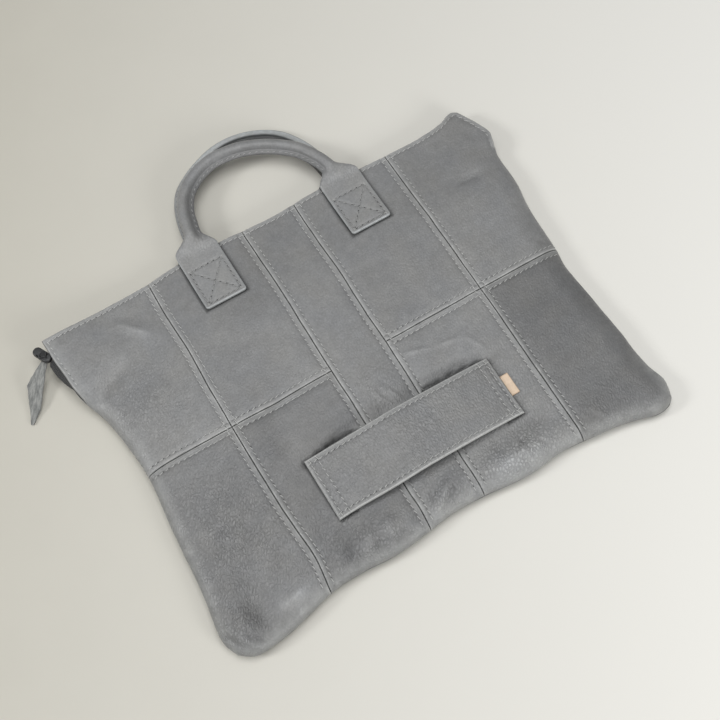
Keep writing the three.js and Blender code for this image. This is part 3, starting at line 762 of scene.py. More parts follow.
class BarPaths:
    """Short arched bars laid one after another along paths: stitches, needle holes or the turns of a coil."""

    SIZES = ("Pitch", "Length", "Thickness", "Arch", "Sink", "Slant", "Jitter")
    RING = 6
    BENDS = 6

    def __init__(self) -> None:
        """Builds the geometry nodes once for all paths."""
        tree = bpy.data.node_groups.new("bars_along_paths", "GeometryNodeTree")
        tree.is_modifier = True
        self.tree = tree
        face = tree.interface
        face.new_socket("Geometry", in_out="INPUT", socket_type="NodeSocketGeometry")
        self.sockets = {
            name: face.new_socket(name, in_out="INPUT", socket_type="NodeSocketFloat").identifier
            for name in self.SIZES
        }
        for name, kind in (("Seed", "NodeSocketInt"), ("Material", "NodeSocketMaterial")):
            self.sockets[name] = face.new_socket(name, in_out="INPUT", socket_type=kind).identifier
        face.new_socket("Geometry", in_out="OUTPUT", socket_type="NodeSocketGeometry")
        given = add_node(tree, "NodeGroupInput").outputs
        spots = add_node(tree, "GeometryNodeMeshToCurve", {"Mesh": given["Geometry"]})
        spots = add_node(
            tree, "GeometryNodeResampleCurve", {"Curve": spots, "Length": given["Pitch"]}, mode="LENGTH"
        )
        laid = add_node(
            tree,
            "GeometryNodeInstanceOnPoints",
            {"Points": spots, "Instance": self._bar(given), "Rotation": self._turn(given)},
        )
        real = add_node(tree, "GeometryNodeRealizeInstances", {"Geometry": laid})
        soft = add_node(tree, "GeometryNodeSetShadeSmooth", {"Geometry": real})
        dressed = add_node(tree, "GeometryNodeSetMaterial", {"Geometry": soft, "Material": given["Material"]})
        add_node(tree, "NodeGroupOutput", {"Geometry": dressed})

    def _bar(self, given: Sockets) -> Node:
        """One bar along X that dips at both ends.

        Args:
            given: Inputs of the tree.

        Returns:
            Node that gives the bar's mesh.
        """
        tree = self.tree
        sizes = add_node(
            tree, "ShaderNodeCombineXYZ", {"X": given["Length"], "Y": given["Arch"], "Z": given["Sink"]}
        )
        start, end = (
            add_node(tree, "ShaderNodeVectorMath", {0: sizes, 1: (half, 0.0, -1.0)}, operation="MULTIPLY")
            for half in (-0.5, 0.5)
        )
        rise = add_node(tree, "ShaderNodeVectorMath", {0: sizes, 1: (0.0, 2.0, 1.0)}, operation="DOT_PRODUCT")
        middle = add_node(tree, "ShaderNodeCombineXYZ", {"Z": rise.outputs["Value"]})
        inputs = {"Resolution": self.BENDS, "Start": start, "Middle": middle, "End": end}
        line = add_node(tree, "GeometryNodeCurveQuadraticBezier", inputs)
        radius = add_node(tree, "ShaderNodeMath", {0: given["Thickness"], 1: 0.5}, operation="MULTIPLY")
        inputs = {"Resolution": self.RING, "Radius": radius}
        ring = add_node(tree, "GeometryNodeCurvePrimitiveCircle", inputs, mode="RADIUS")
        inputs = {"Curve": line, "Profile Curve": ring.outputs["Curve"], "Fill Caps": True}
        return add_node(tree, "GeometryNodeCurveToMesh", inputs)

    def _turn(self, given: Sockets) -> Node:
        """Turn that lays a bar along the path's own directions, slanted a little.

        Args:
            given: Inputs of the tree.

        Returns:
            Node that gives the turn.
        """
        tree = self.tree
        up, run = (
            add_node(tree, "GeometryNodeInputNamedAttribute", {"Name": name}, data_type="FLOAT_VECTOR")
            for name in ("up", "run")
        )
        inputs = {"Vector": up.outputs["Attribute"]}
        stand = add_node(tree, "FunctionNodeAlignRotationToVector", inputs, axis="Z")
        inputs = {"Rotation": stand, "Vector": run.outputs["Attribute"]}
        lie = add_node(tree, "FunctionNodeAlignRotationToVector", inputs, axis="X", pivot_axis="Z")
        low = add_node(tree, "ShaderNodeMath", {0: given["Jitter"], 1: -1.0}, operation="MULTIPLY")
        inputs = {2: low, 3: given["Jitter"], "Seed": given["Seed"]}
        stray = add_node(tree, "FunctionNodeRandomValue", inputs, data_type="FLOAT").outputs[1]
        angle = add_node(tree, "ShaderNodeMath", {0: given["Slant"], 1: stray}, operation="ADD")
        turn = add_node(tree, "ShaderNodeCombineXYZ", {"Z": angle})
        inputs = {"Rotation": lie, "Rotate By": add_node(tree, "FunctionNodeEulerToRotation", {0: turn})}
        return add_node(tree, "FunctionNodeRotateRotation", inputs, rotation_space="LOCAL")

    def lay(
        self, name: str, paths: Sequence["Path"], sizes: Mapping[str, float], finish: Finish, seed: int
    ) -> Piece:
        """Lays bars along paths as one plain mesh.

        Args:
            name: Name of the piece.
            paths: Paths with their directions.
            sizes: Value of each size of the tree: metres, and radians for Slant and Jitter.
            finish: Finish of the bars.
            seed: Start of the random slants.

        Returns:
            The piece.
        """
        mesh = bpy.data.meshes.new(name + "_paths")
        starts = np.cumsum([0, *[len(path.points) for path in paths]])
        edges = [(i, i + 1) for a, b in zip(starts, starts[1:]) for i in range(a, b - 1)]
        mesh.from_pydata((np.concatenate([path.points for path in paths]) * MM).tolist(), edges, [])
        for layer in ("up", "run"):
            values = np.concatenate([getattr(path, layer) for path in paths])
            mesh.attributes.new(layer, "FLOAT_VECTOR", "POINT").data.foreach_set("vector", values.ravel())
        guide = put(name + "_paths", mesh)
        modifier = guide.modifiers.new("bars", "NODES")
        modifier.node_group = self.tree
        for key, value in {**sizes, "Seed": seed, "Material": finish.material}.items():
            modifier[self.sockets[key]] = value
        ready = guide.evaluated_get(bpy.context.evaluated_depsgraph_get())
        bars = put(name, bpy.data.meshes.new_from_object(ready))
        bars.data.name = name
        bpy.data.objects.remove(guide)
        return bars


@dataclass(frozen=True)
class Path:
    """Path on a surface, with the surface's own directions at each point."""

    PROBE = 0.4

    points: Array
    up: Array
    run: Array

    @property
    def step(self) -> float:
        """Distance between the path's points."""
        return float(np.linalg.norm(self.points[1] - self.points[0]))

    def later(self, steps: int) -> "Path":
        """The same path without its first steps."""
        return Path(self.points[steps:], self.up[steps:], self.run[steps:])

    @staticmethod
    def over(plan: Array, surface: Callable[[Array, Array], Array], sink: float = 0.0) -> "Path":
        """Path laid over a surface whose height is known everywhere.

        Args:
            plan: Places in plan along the path.
            surface: Height over places across and up.
            sink: Depth below the surface.

        Returns:
            The path.
        """
        x, y = plan.T
        step = Path.PROBE
        slope_x = (surface(x + step, y) - surface(x - step, y)) / (2 * step)
        slope_y = (surface(x, y + step) - surface(x, y - step)) / (2 * step)
        up = unit(np.stack([-slope_x, -slope_y, np.ones_like(x)], axis=1))
        points = np.column_stack([plan, surface(x, y) - sink])
        return Path(points, up, unit(np.gradient(points, axis=0)))


def straight(start: Row, end: Row, step: float = 1.0) -> Array:
    """Points along a straight line, about a step apart."""
    count = max(2, round(math.dist(start, end) / step) + 1)
    return between(np.array(start, float), np.array(end, float), np.linspace(0.0, 1.0, count)[:, None])


# Sizes of the dark bars of painted shade at the needle holes.
HOLE = {
    "Pitch": 5.0 * MM,
    "Length": 0.9 * MM,
    "Thickness": 0.7 * MM,
    "Arch": 0.0,
    "Sink": 0.22 * MM,
    "Slant": 0.0,
    "Jitter": math.radians(20),
}
STITCH = {
    "Pitch": 5.0 * MM,
    "Length": 4.7 * MM,
    "Thickness": 0.4 * MM,
    "Arch": 0.26 * MM,
    "Sink": 0.34 * MM,
    "Slant": math.radians(15),
    "Jitter": math.radians(11),
}


@dataclass(frozen=True)
class Seam:
    """Section of a sewn edge, from its groove or fold over its raised lip to the row of stitches."""

    start: float = 0.14
    roll: float = 1.3
    drop: float = 0.7
    lip: float = 0.5
    row: float = 4.6
    pull: float = 0.5
    pitch: float = 5.0
    rub: float = 0.22
    groove_highlight: float = 0.82

    def beat(self, along: Array) -> Array:
        """Beat of the stitches along the edge: 1 under the middle of each, 0 at its ends."""
        return 0.5 + 0.5 * np.cos(2 * math.pi * along / self.pitch)

    def height(self, distance: Array, along: Array) -> Array:
        """Height over the plain surface.

        Args:
            distance: Distance from the groove or fold.
            along: Place along it.

        Returns:
            The height at each place.
        """
        beat = self.beat(along)
        fold = -self.drop * (1.0 - rounding((distance - self.start) / self.roll))
        edge = self.row - 0.3 - 0.15 * beat
        lip = self.lip * smooth(distance, self.start, 1.2) * (1.0 - smooth(distance, edge - 1.6, edge + 0.5))
        return fold + lip - self.pull * (0.6 + 0.4 * beat) * hump(distance, self.row, 0.9)

    def wear(self, distance: Array) -> Array:
        """Share of rubbed leather on the lip, and of painted highlight beside the groove."""
        lip = smooth(distance, 0.2, 0.9) * (1.0 - smooth(distance, self.row - 1.6, self.row + 0.2))
        return np.maximum(self.rub * lip, self.groove_highlight * hump(distance, 0.95, 0.55))

    def soil(self, distance: Array, along: Array) -> Array:
        """Share of painted shade in the groove and the needle holes.

        Args:
            distance: Distance from the groove or fold.
            along: Place along it.

        Returns:
            The share at each place.
        """
        holes = 0.25 * (1.0 - self.beat(along)) ** 3 * hump(distance, self.row, 0.5)
        return np.clip(0.8 * (1.0 - smooth(distance, self.start, 0.34)) + holes, 0.0, 1.0)


class Half(Enum):
    """Half of the front, below or above the cross seam."""

    LOWER = 0
    UPPER = 1


@dataclass(frozen=True)
class Fold:
    """Soft fold, hollow or swelling: its middle, direction in degrees, half sizes and height."""

    x: float
    y: float
    turn: float
    along: float
    across: float
    rise: float

    def height(self, x: Array, y: Array) -> Array:
        """Height that the fold adds at each place.

        Args:
            x, y: Places across and up.

        Returns:
            The height at each place.
        """
        cos, sin = math.cos(math.radians(self.turn)), math.sin(math.radians(self.turn))
        u = ((x - self.x) * cos + (y - self.y) * sin) / self.along
        v = ((y - self.y) * cos - (x - self.x) * sin) / self.across
        return self.rise * np.exp(-u * u - v * v)


@dataclass(frozen=True)
class BodyShape:
    """Sizes of the pouch's body and its heights over any place in plan."""

    BATCH = 2000
    RIM_STEPS = 161

    wall: float = 1.8
    piece_gap: float = 0.35
    crown_height: float = 19.0
    mouth_height: float = 13.5
    mouth_fall: Row = (70.0, 150.0)
    rim_height: float = 8.0
    front_round: float = 22.0
    back_round: float = 15.0
    edge_drop: float = 0.8
    left_open: Row = (70.0, 92.0)
    right_open: Row = (100.0, 116.0)
    seams: Row = (-114.8, -24.7, 24.7, 114.8)
    widths: Row = (77.0, 90.1, 49.4, 90.1, 77.0)
    half_height: float = 150.0
    seam_dip: float = 0.8
    seam_dip_reach: float = 6.0
    pad_lift: Row = (56.0, 84.0, 3.35)
    lifts: tuple[Row, ...] = ((-211.0, 142.0, 95.0, 9.0), (196.0, 150.0, 60.0, 2.5))
    left_edge: tuple[Row, ...] = (
        (-195, -154.5), (-200.5, -141), (-196.5, -100), (-193.5, -45), (-190, 0), (-193, 36),
        (-198, 62), (-204, 78), (-207.6, 92), (-209, 106), (-210.8, 121), (-211.5, 141.5),
    )
    right_edge: tuple[Row, ...] = (
        (195.5, -155), (199.4, -140.5), (195, -121), (193, -90), (190.5, -50), (189, -18), (191.5, 0),
        (193.5, 40), (198.5, 74), (199.6, 104), (202.2, 115.5), (204.2, 123), (201, 134), (196.3, 144.5),
        (191, 154.6),
    )
    bottom_edge: tuple[Row, ...] = (
        (-195, -154.5), (-184, -162), (-160, -161.3), (-135, -156), (-112, -150.3), (-85, -149.3),
        (-57, -151), (0, -145.5), (25, -146.5), (60, -150), (97, -147.5), (125, -150.3), (147, -153),
        (165, -157.4), (179, -161.2), (190, -159.4), (195.5, -155),
    )
    top_edge: tuple[Row, ...] = (
        (-211.5, 141.5), (-177, 143.4), (-140, 145.5), (-115, 147.3), (-85, 150.2), (-40, 151), (0, 149),
        (40, 151), (110, 150.5), (150, 150.6), (173, 152.9), (180.5, 156), (186, 157), (191, 154.6),
    )
    folds: tuple[Fold, ...] = (
        Fold(-143, 115, -45, 20, 6, 1.6),
        Fold(-152, 128, -40, 26, 10, -1.2),
        Fold(-186, 80, 25, 22, 8, -2.4),
        Fold(-172, 46, 20, 30, 16, 1.5),
        Fold(164, 93, -7, 16, 5, -1.2),
        Fold(184, 8, 20, 9, 4, -1.6),
        Fold(-46, -51, 8, 26, 6, -2.6),
        Fold(57, -50, -3, 30, 6, -2.8),
        Fold(2, -82, 0, 62, 30, -2.6),
        Fold(4, -33, 90, 26, 16, 1.4),
        Fold(0, -130, 36, 13, 5, 1.6),
        Fold(-97, -110, 70, 34, 14, -2.2),
        Fold(-54, -133, -3, 26, 11, 1.8),
        Fold(73, -136, -6, 36, 10, 1.6),
        Fold(67, -120, -6, 34, 9, -1.4),
        Fold(-182, -122, 88, 28, 9, 1.4),
        Fold(-163, -130, 80, 28, 10, -2),
        Fold(145, -147, -16, 30, 9, 1.4),
        Fold(122, -138, -50, 12, 5, -1.4),
    )

    @cached_property
    def left(self) -> Curve:
        """Left edge, from below."""
        return Curve(self.left_edge)

    @cached_property
    def right(self) -> Curve:
        """Right edge, from below."""
        return Curve(self.right_edge)

    @cached_property
    def bottom(self) -> Curve:
        """Bottom edge, from the left."""
        return Curve(self.bottom_edge)

    @cached_property
    def top(self) -> Curve:
        """Top edge, from the left."""
        return Curve(self.top_edge)

    @cached_property
    def rim(self) -> tuple[Array, Array]:
        """Sewn rim down the left, along the bottom and up the right: starts and runs of short stretches.

        Returns:
            The starts and the runs.
        """
        shares = np.linspace(0.0, 1.0, self.RIM_STEPS)
        lines = (self.left.at(shares[::-1]), self.bottom.at(shares), self.right.at(shares))
        starts = np.concatenate([line[:-1] for line in lines])
        return starts, np.concatenate([np.diff(line, axis=0) for line in lines])

    def near_rim(self, x: Array, y: Array) -> tuple[Array, Array]:
        """Finds the nearest point of the rim.

        Args:
            x, y: Places across and up.

        Returns:
            The distance to the rim and the way in from it.
        """
        starts, runs = self.rim
        inward = unit(leftward(runs))
        squares = (runs**2).sum(axis=1)
        places = np.stack([np.ravel(x), np.ravel(y)], axis=1)
        distance, ways = np.empty(len(places)), np.empty((len(places), 2))
        for first in range(0, len(places), self.BATCH):
            part = places[first : first + self.BATCH, None] - starts
            share = np.clip((part * runs).sum(axis=2) / squares, 0.0, 1.0)
            away = np.linalg.norm(part - share[..., None] * runs, axis=2)
            nearest = away.argmin(axis=1)
            distance[first : first + self.BATCH] = away[np.arange(len(away)), nearest]
            ways[first : first + self.BATCH] = inward[nearest]
        return distance.reshape(np.shape(x)), ways.reshape(*np.shape(x), 2)

    def openness(self, x: Array, y: Array) -> Array:
        """Share to which front and back stay apart along the zipped ends of both sides."""
        return np.where(x < 0, smooth(y, *self.left_open), smooth(y, *self.right_open))

    def lift(self, x: Array, y: Array) -> Array:
        """Height by which the corners stand off the surface."""
        away = [(np.hypot(x - cx, y - cy), reach, rise) for cx, cy, reach, rise in self.lifts]
        return sum(rise * (1 - smooth(distance, 0.0, reach)) for distance, reach, rise in away)

    def crown(self, x: Array, y: Array) -> Array:
        """Height of the front away from its rim.

        Args:
            x, y: Places across and up.

        Returns:
            The height at each place.
        """
        upright = np.min([np.abs(x - seam) for seam in self.seams], axis=0)
        cross = np.where(np.abs(x) < self.seams[2], upright, np.minimum(upright, np.abs(y)))
        dip = self.seam_dip * hump(cross, 0.0, self.seam_dip_reach)
        plain = between(self.crown_height, self.mouth_height, smooth(y, *self.mouth_fall))
        return plain + sum(fold.height(x, y) for fold in self.folds) - dip

    def front(self, x: Array, y: Array, distance: Array | None = None, depth: float = 0.0) -> Array:
        """Height of the front wall.

        Args:
            x, y: Places across and up.
            distance: Distance from the rim, found if left out.
            depth: Depth below the outside.

        Returns:
            The height at each place.
        """
        distance = self.near_rim(x, y)[0] if distance is None else distance
        top = self.crown(x, y) - depth
        rim = between(self.rim_height + self.piece_gap / 2, top - self.edge_drop, self.openness(x, y))
        return between(rim, top, rounding(distance / (self.front_round - depth))) + self.lift(x, y)

    def back(self, x: Array, y: Array, distance: Array | None = None, depth: float = 0.0) -> Array:
        """Height of the back wall.

        Args:
            x, y: Places across and up.
            distance: Distance from the rim, found if left out.
            depth: Depth above the outside.

        Returns:
            The height at each place.
        """
        distance = self.near_rim(x, y)[0] if distance is None else distance
        start, end, rise = self.pad_lift
        bottom = rise * smooth(y, start, end) + depth
        rim = between(self.rim_height - self.piece_gap / 2, bottom + self.edge_drop, self.openness(x, y))
        return between(rim, bottom, rounding(distance / (self.back_round - depth))) + self.lift(x, y)

    def walls(self, plan: Array, height: Callable[..., Array], reach: float) -> tuple[Array, Array, Array]:
        """Outside and inside of a wall over a grid of places.

        Args:
            plan: Places in plan.
            height: The front's or the back's height.
            reach: Distance over which that wall is rounded.

        Returns:
            Points of the outside, points of the inside and distances from the rim.
        """
        x, y = plan[..., 0], plan[..., 1]
        distance, inward = self.near_rim(x, y)
        inset = self.wall * (1.0 - np.clip(distance / reach, 0.0, 1.0))
        inner = plan + inward * inset[..., None]
        within = np.maximum(0.0, distance + inset - self.wall)
        low = height(inner[..., 0], inner[..., 1], within, self.wall)
        outside = np.concatenate([plan, height(x, y, distance)[..., None]], axis=-1)
        return outside, np.concatenate([inner, low[..., None]], axis=-1), distance

    def upright(self, border: int, half: Half, up: Array) -> Array:
        """Upright border of a column of panels, from below, at shares of its half.

        Args:
            border: Number of the border, from the left edge.
            half: Half of the front.
            up: Shares of the way up.

        Returns:
            Points in plan.
        """
        if border in (0, len(self.seams) + 1):
            edge = self.right if border else self.left
            cross = edge.share_where(1, 0.0)
            return edge.at(between(0.0, cross, up) if half is Half.LOWER else between(cross, 1.0, up))
        x = self.seams[border - 1]
        edge = self.bottom if half is Half.LOWER else self.top
        end = edge.at(edge.share_where(0, x))
        share = (1.0 - up if half is Half.LOWER else up)[:, None]
        return between(np.array((x, 0.0)), end, share)

    def level(self, column: int, edge: Curve | None, across: Array) -> Array:
        """Level border of a column, from the left, at shares of its width.

        Args:
            column: Number of the column.
            edge: Top or bottom edge, or none for the cross seam.
            across: Shares of the way across.

        Returns:
            Points in plan.
        """
        if edge is None:
            start, end = (self.upright(column + i, Half.UPPER, np.zeros(1)) for i in (0, 1))
            return between(start, end, across[:, None])
        start = edge.share_where(0, self.seams[column - 1]) if column else 0.0
        end = edge.share_where(0, self.seams[column]) if column < len(self.seams) else 1.0
        return edge.at(between(start, end, across))

    def plan(self, column: int, half: Half, across: Array, up: Array) -> Array:
        """Grid of places in plan over one panel, its four borders blended.

        Args:
            column: Number of the column.
            half: Half of the front.
            across: Shares of the way across.
            up: Shares of the way up.

        Returns:
            Rows of columns of places.
        """
        ends = np.array((0.0, 1.0))
        lower_edge, upper_edge = (self.bottom, None) if half is Half.LOWER else (None, self.top)
        a, u = across[None, :, None], up[:, None, None]
        sides = between(*(self.upright(column + i, half, up)[:, None] for i in (0, 1)), a)
        levels = between(*(self.level(column, edge, across)[None] for edge in (lower_edge, upper_edge)), u)
        left, right = (self.upright(column + i, half, ends) for i in (0, 1))
        corners = between(between(left[0], right[0], a), between(left[1], right[1], a), u)
        return sides + levels - corners


@dataclass(frozen=True)
class Crease:
    """Sharp crease along a line: its ends, half width and height."""

    x: float
    y: float
    end_x: float
    end_y: float
    width: float
    rise: float

    def height(self, x: Array, y: Array) -> Array:
        """Height that the crease adds at each place.

        Args:
            x, y: Places across and up.

        Returns:
            The height at each place.
        """
        run = np.array((self.end_x - self.x, self.end_y - self.y))
        length = float(np.hypot(*run))
        along = ((x - self.x) * run[0] + (y - self.y) * run[1]) / length
        aside = ((y - self.y) * run[0] - (x - self.x) * run[1]) / length
        taper = smooth(along, -2.0, length * 0.35) * (1 - smooth(along, length * 0.65, length + 2.0))
        return self.rise * taper * np.exp(-((aside / self.width) ** 2))


@dataclass(frozen=True)
class Patch:
    """Soft-edged patch: its middle, half sizes and strength."""

    x: float
    y: float
    reach_x: float
    reach_y: float
    strength: float

    def at(self, x: Array, y: Array) -> Array:
        """Strength at each place."""
        return self.strength * hump(x, self.x, self.reach_x) * hump(y, self.y, self.reach_y)


def outside_box(box: Row, x: Array, y: Array) -> Array:
    """Distance outside a box given by its left, right, bottom and top, below 0 inside it."""
    left, right, bottom, top = box
    return np.maximum(np.maximum(left - x, x - right), np.maximum(bottom - y, y - top))


@dataclass(frozen=True)
class Panel:
    """One panel of the front: its name, column, halves and tone of dye."""

    name: str
    column: int
    halves: tuple[Half, ...]
    tone: float


@dataclass(frozen=True)
class Front:
    """The nine panels of the front, sewn edge to edge."""

    shape: BodyShape
    seam: Seam = Seam()
    hem: Seam = Seam(start=0.0, roll=1.5, drop=1.2, lip=0.3, row=3.8, pull=0.5)
    cell: float = 1.5
    seam_lines: Row = (0.14, 0.3, 0.55, 0.95, 1.5, 2.1, 2.8, 3.5, 4.1, 4.6, 5.1, 5.8, 6.9)
    rim_lines: Row = (0.0, 0.12, 0.4, 0.9, 1.6, 2.6, 3.6, 4.6, 5.8, 7.4, 9.0, 11.0)
    hem_lines: Row = (0.0, 0.3, 0.8, 1.5, 2.3, 3.0, 3.6, 4.2, 5.0, 6.2)
    panels: tuple[Panel, ...] = (
        Panel("front_bottom_left_outer", 0, (Half.LOWER,), 0.85),
        Panel("front_bottom_left_inner", 1, (Half.LOWER,), 0.79),
        Panel("front_bottom_right_inner", 3, (Half.LOWER,), 1.02),
        Panel("front_bottom_right_outer", 4, (Half.LOWER,), 0.67),
        Panel("front_top_left_outer", 0, (Half.UPPER,), 1.02),
        Panel("front_top_left_inner", 1, (Half.UPPER,), 0.94),
        Panel("front_top_right_inner", 3, (Half.UPPER,), 0.96),
        Panel("front_top_right_outer", 4, (Half.UPPER,), 0.94),
        Panel("front_centre_strip", 2, (Half.LOWER, Half.UPPER), 0.96),
    )
    creases: tuple[Crease, ...] = (
        Crease(-155, 130, -133, 103, 2.2, 0.9),
        Crease(6, -52, -1, -27, 1.1, 1.0),
        Crease(11, -52, 3, -32, 1.1, 1.1),
        Crease(2, -52, -8, -30, 1.1, 0.9),
        Crease(-6, -52, -4, -34, 1.1, 0.7),
        Crease(-14, -52, -9, -36, 1.1, 0.7),
        Crease(-14, -143, 5, -124, 2.0, 1.5),
        Crease(-19, -138, -5, -120, 3.0, -0.9),
        Crease(-5, -143, 12, -127, 2.6, -0.8),
        Crease(-82, -144, -66, -128, 4.0, 1.5),
        Crease(-93, -142, -85, -121, 4.5, -0.8),
        Crease(-69, -144, -60, -127, 3.2, -0.6),
        Crease(-56, -144, -50, -124, 3.6, 1.2),
        Crease(-43, -139, -34, -137, 2.2, 0.9),
        Crease(34, -138, 92, -134, 6.0, 1.2),
        Crease(58, -114, 106, -121, 5.0, -0.6),
        Crease(69, -117, 74, -141, 1.0, -1.0),
        Crease(78, -128, 90, -142, 1.0, -1.0),
        Crease(73, -125, 59, -134, 1.0, -0.9),
        Crease(28, -16, 54, -24, 1.4, 0.75),
        Crease(54, -24, 81, -28, 1.4, 0.7),
        Crease(81, -28, 91, -50, 1.4, 0.65),
        Crease(-198, -137, -189, -154, 1.6, -1.3),
        Crease(-193, -136, -183, -154, 1.7, 1.1),
        Crease(-187, -146, -172, -160, 2.2, -1.2),
        Crease(-176, -122, -165, -154, 6.0, -1.0),
        Crease(-155, -145, -126, -139, 5.0, 1.9),
        Crease(151, 92, 171, 90, 1.3, -0.6),
        Crease(124, -128, 134, -146, 1.5, -0.6),
        Crease(130, -128, 142, -148, 1.5, 0.5),
        Crease(178, 12, 190, 6, 1.8, -0.8),
    )
    crumples: tuple[Patch, ...] = (
        Patch(-158, -80, 46, 62, 0.8),
        Patch(-185, -140, 28, 28, 0.9),
        Patch(-90, -120, 34, 30, 0.5),
        Patch(0, -125, 22, 22, 0.5),
        Patch(-170, 50, 36, 44, 0.45),
        Patch(150, -130, 34, 16, 0.3),
        Patch(0, -40, 22, 24, 0.5),
        Patch(70, -90, 70, 40, 0.35),
    )
    pebbled: tuple[Patch, ...] = (
        Patch(62, -134, 50, 16, 1.0),
        Patch(146, -148, 40, 10, 0.7),
        Patch(0, -132, 22, 16, 0.8),
        Patch(-62, -136, 40, 14, 0.8),
    )
    bows: tuple[Patch, ...] = (Patch(-113, -120, 40, 26, 4.0),)
    plain_crumple: float = 0.1
    plain_pebble: float = 0.14
    crest_painted_light: float = 0.14
    rim_rub_and_highlight: float = 0.36
    strap_top: float = -54.6
    sewn_boxes: tuple[Row, ...] = (
        (-84.5, -47.5, 98.0, 153.0),
        (51.5, 88.5, 95.7, 150.7),
        (-81.5, -67.5, -109.0, -54.6),
        (71.0, 85.0, -109.0, -54.6),
    )
    drifts: Row = (3, 4)
    swells: tuple[Row, ...] = ((5, 0.34, 26.0), (6, 0.16, 11.0))
    ripples: tuple[Row, ...] = ((7, 0.26, 6.0, 16.0), (8, 0.14, 3.6, 11.0))
    ripple_way: Row = (0.855, 0.52)
    clouds: tuple[Row, ...] = ((21, 0.06, 46.0), (22, 0.03, 17.0))
    stitch_sink: float = 0.05
    stitch_from: Row = (7.0, 5.0)
    gap_depth: float = 1.6
    gap_painted_shade: float = 0.9
    contact_painted_shade: float = 0.75
    contact_shade_reach: Row = (0.4, 2.8)
    crest_limit: float = 1.8
    hem_sides: tuple[Row, ...] = ((94.0, 136.0, 1), (120.0, 150.0, -1))
    gap_rows: tuple[Row, ...] = (
        (-87, 0), (-83, 1.2), (-66, 2.7), (-53, 5.2), (-46, 3.9), (-40, 5.3), (-34, 3.7), (-28, 0), (24, 0),
        (31, 6.2), (56, 5.3), (76, 3.2), (84, 1.5), (89, 0),
    )
    # Patches of painted shade above the middle of the strap.
    painted_shades: tuple[Patch, ...] = (Patch(-11, -49, 10, 7, 0.34), Patch(10, -49, 12, 5, 0.2))
    # Patches of painted highlight on the lower swells, and of painted shade in hollows and beside the strap's
    # left end.
    painted_light_patches: tuple[Patch, ...] = (
        Patch(-70, -134, 20, 8, 0.2),
        Patch(-46, -134, 14, 8, 0.2),
        Patch(-14, -137, 7, 9, 0.22),
        Patch(60, -138, 34, 8, 0.3),
        Patch(148, -150, 34, 7, 0.3),
        Patch(-138, -142, 18, 8, 0.42),
        Patch(-170, 92, 26, 18, 0.07),
        Patch(-171, -128, 17, 24, -0.05),
        Patch(-90, -129, 9, 13, -0.14),
        Patch(72, -117, 28, 6, -0.1),
        Patch(-94, -24, 10, 24, -0.13),
        Patch(-80, -42, 10, 20, 0.08),
        Patch(-87, -78, 7, 24, -0.12),
    )

    def wander(self, plan: Array) -> Array:
        """Small drift of all sewn lines, as no real seam is straight.

        Args:
            plan: Places in plan.

        Returns:
            The places, moved a little.
        """
        x, y = plan[..., 0], plan[..., 1]
        drift = [waves(x, y, ((seed, 0.55, 38.0), (seed + 9, 0.2, 13.0))) for seed in self.drifts]
        drift[0] = drift[0] + sum(bow.at(x, y) for bow in self.bows)
        return plan + np.stack(drift, axis=-1)

    def top_distance(self, x: Array, y: Array) -> Array:
        """Distance below the top edge."""
        return np.interp(x, self.shape.top.points[:, 0], self.shape.top.points[:, 1]) - y

    def hem_distance(self, x: Array, y: Array, rim: Array) -> Array:
        """Distance from the hem: the top edge, and the zipped ends of both sides."""
        side = np.where(self.shape.openness(x, y) > 0.5, rim, FAR)
        return np.minimum(np.maximum(self.top_distance(x, y), 0.0), side)

    def sewn_on(self, x: Array, y: Array) -> Array:
        """Distance outside the pads and the strap's sewn ends."""
        return np.min([outside_box(box, x, y) for box in self.sewn_boxes], axis=0)

    def crumple(self, x: Array, y: Array) -> Array:
        """Strength of the wrinkled grain at each place."""
        strength = np.max([patch.at(x, y) for patch in self.crumples], axis=0)
        return np.clip(self.plain_crumple + strength * (0.9 + 0.25 * Noise(17).at(x, y, 15.0)), 0.0, 1.0)

    def pebble(self, x: Array, y: Array) -> Array:
        """Strength of the pebbled grain at each place."""
        strength = np.max([patch.at(x, y) for patch in self.pebbled], axis=0)
        return np.clip(self.plain_pebble + strength * (0.9 + 0.3 * Noise(18).at(x, y, 12.0)), 0.0, 1.0)

    def gap(self, x: Array, y: Array) -> Array:
        """Share of the crease along the strap's upper edge, which sinks the front there and is painted dark
        as shade.

        Args:
            x, y: Places across and up.

        Returns:
            The share at each place.
        """
        places, reaches = np.array(self.gap_rows).T
        reach = np.interp(x, places, reaches)
        ragged = reach * (1.0 + 0.08 * Noise(19).at(x, y, 4.0))
        above = y - self.strap_top
        open_at = smooth(above, -6.0, -3.0) * (1 - smooth(above, ragged - 0.3, ragged + 0.7))
        return open_at * smooth(reach, 0.0, 2.6)

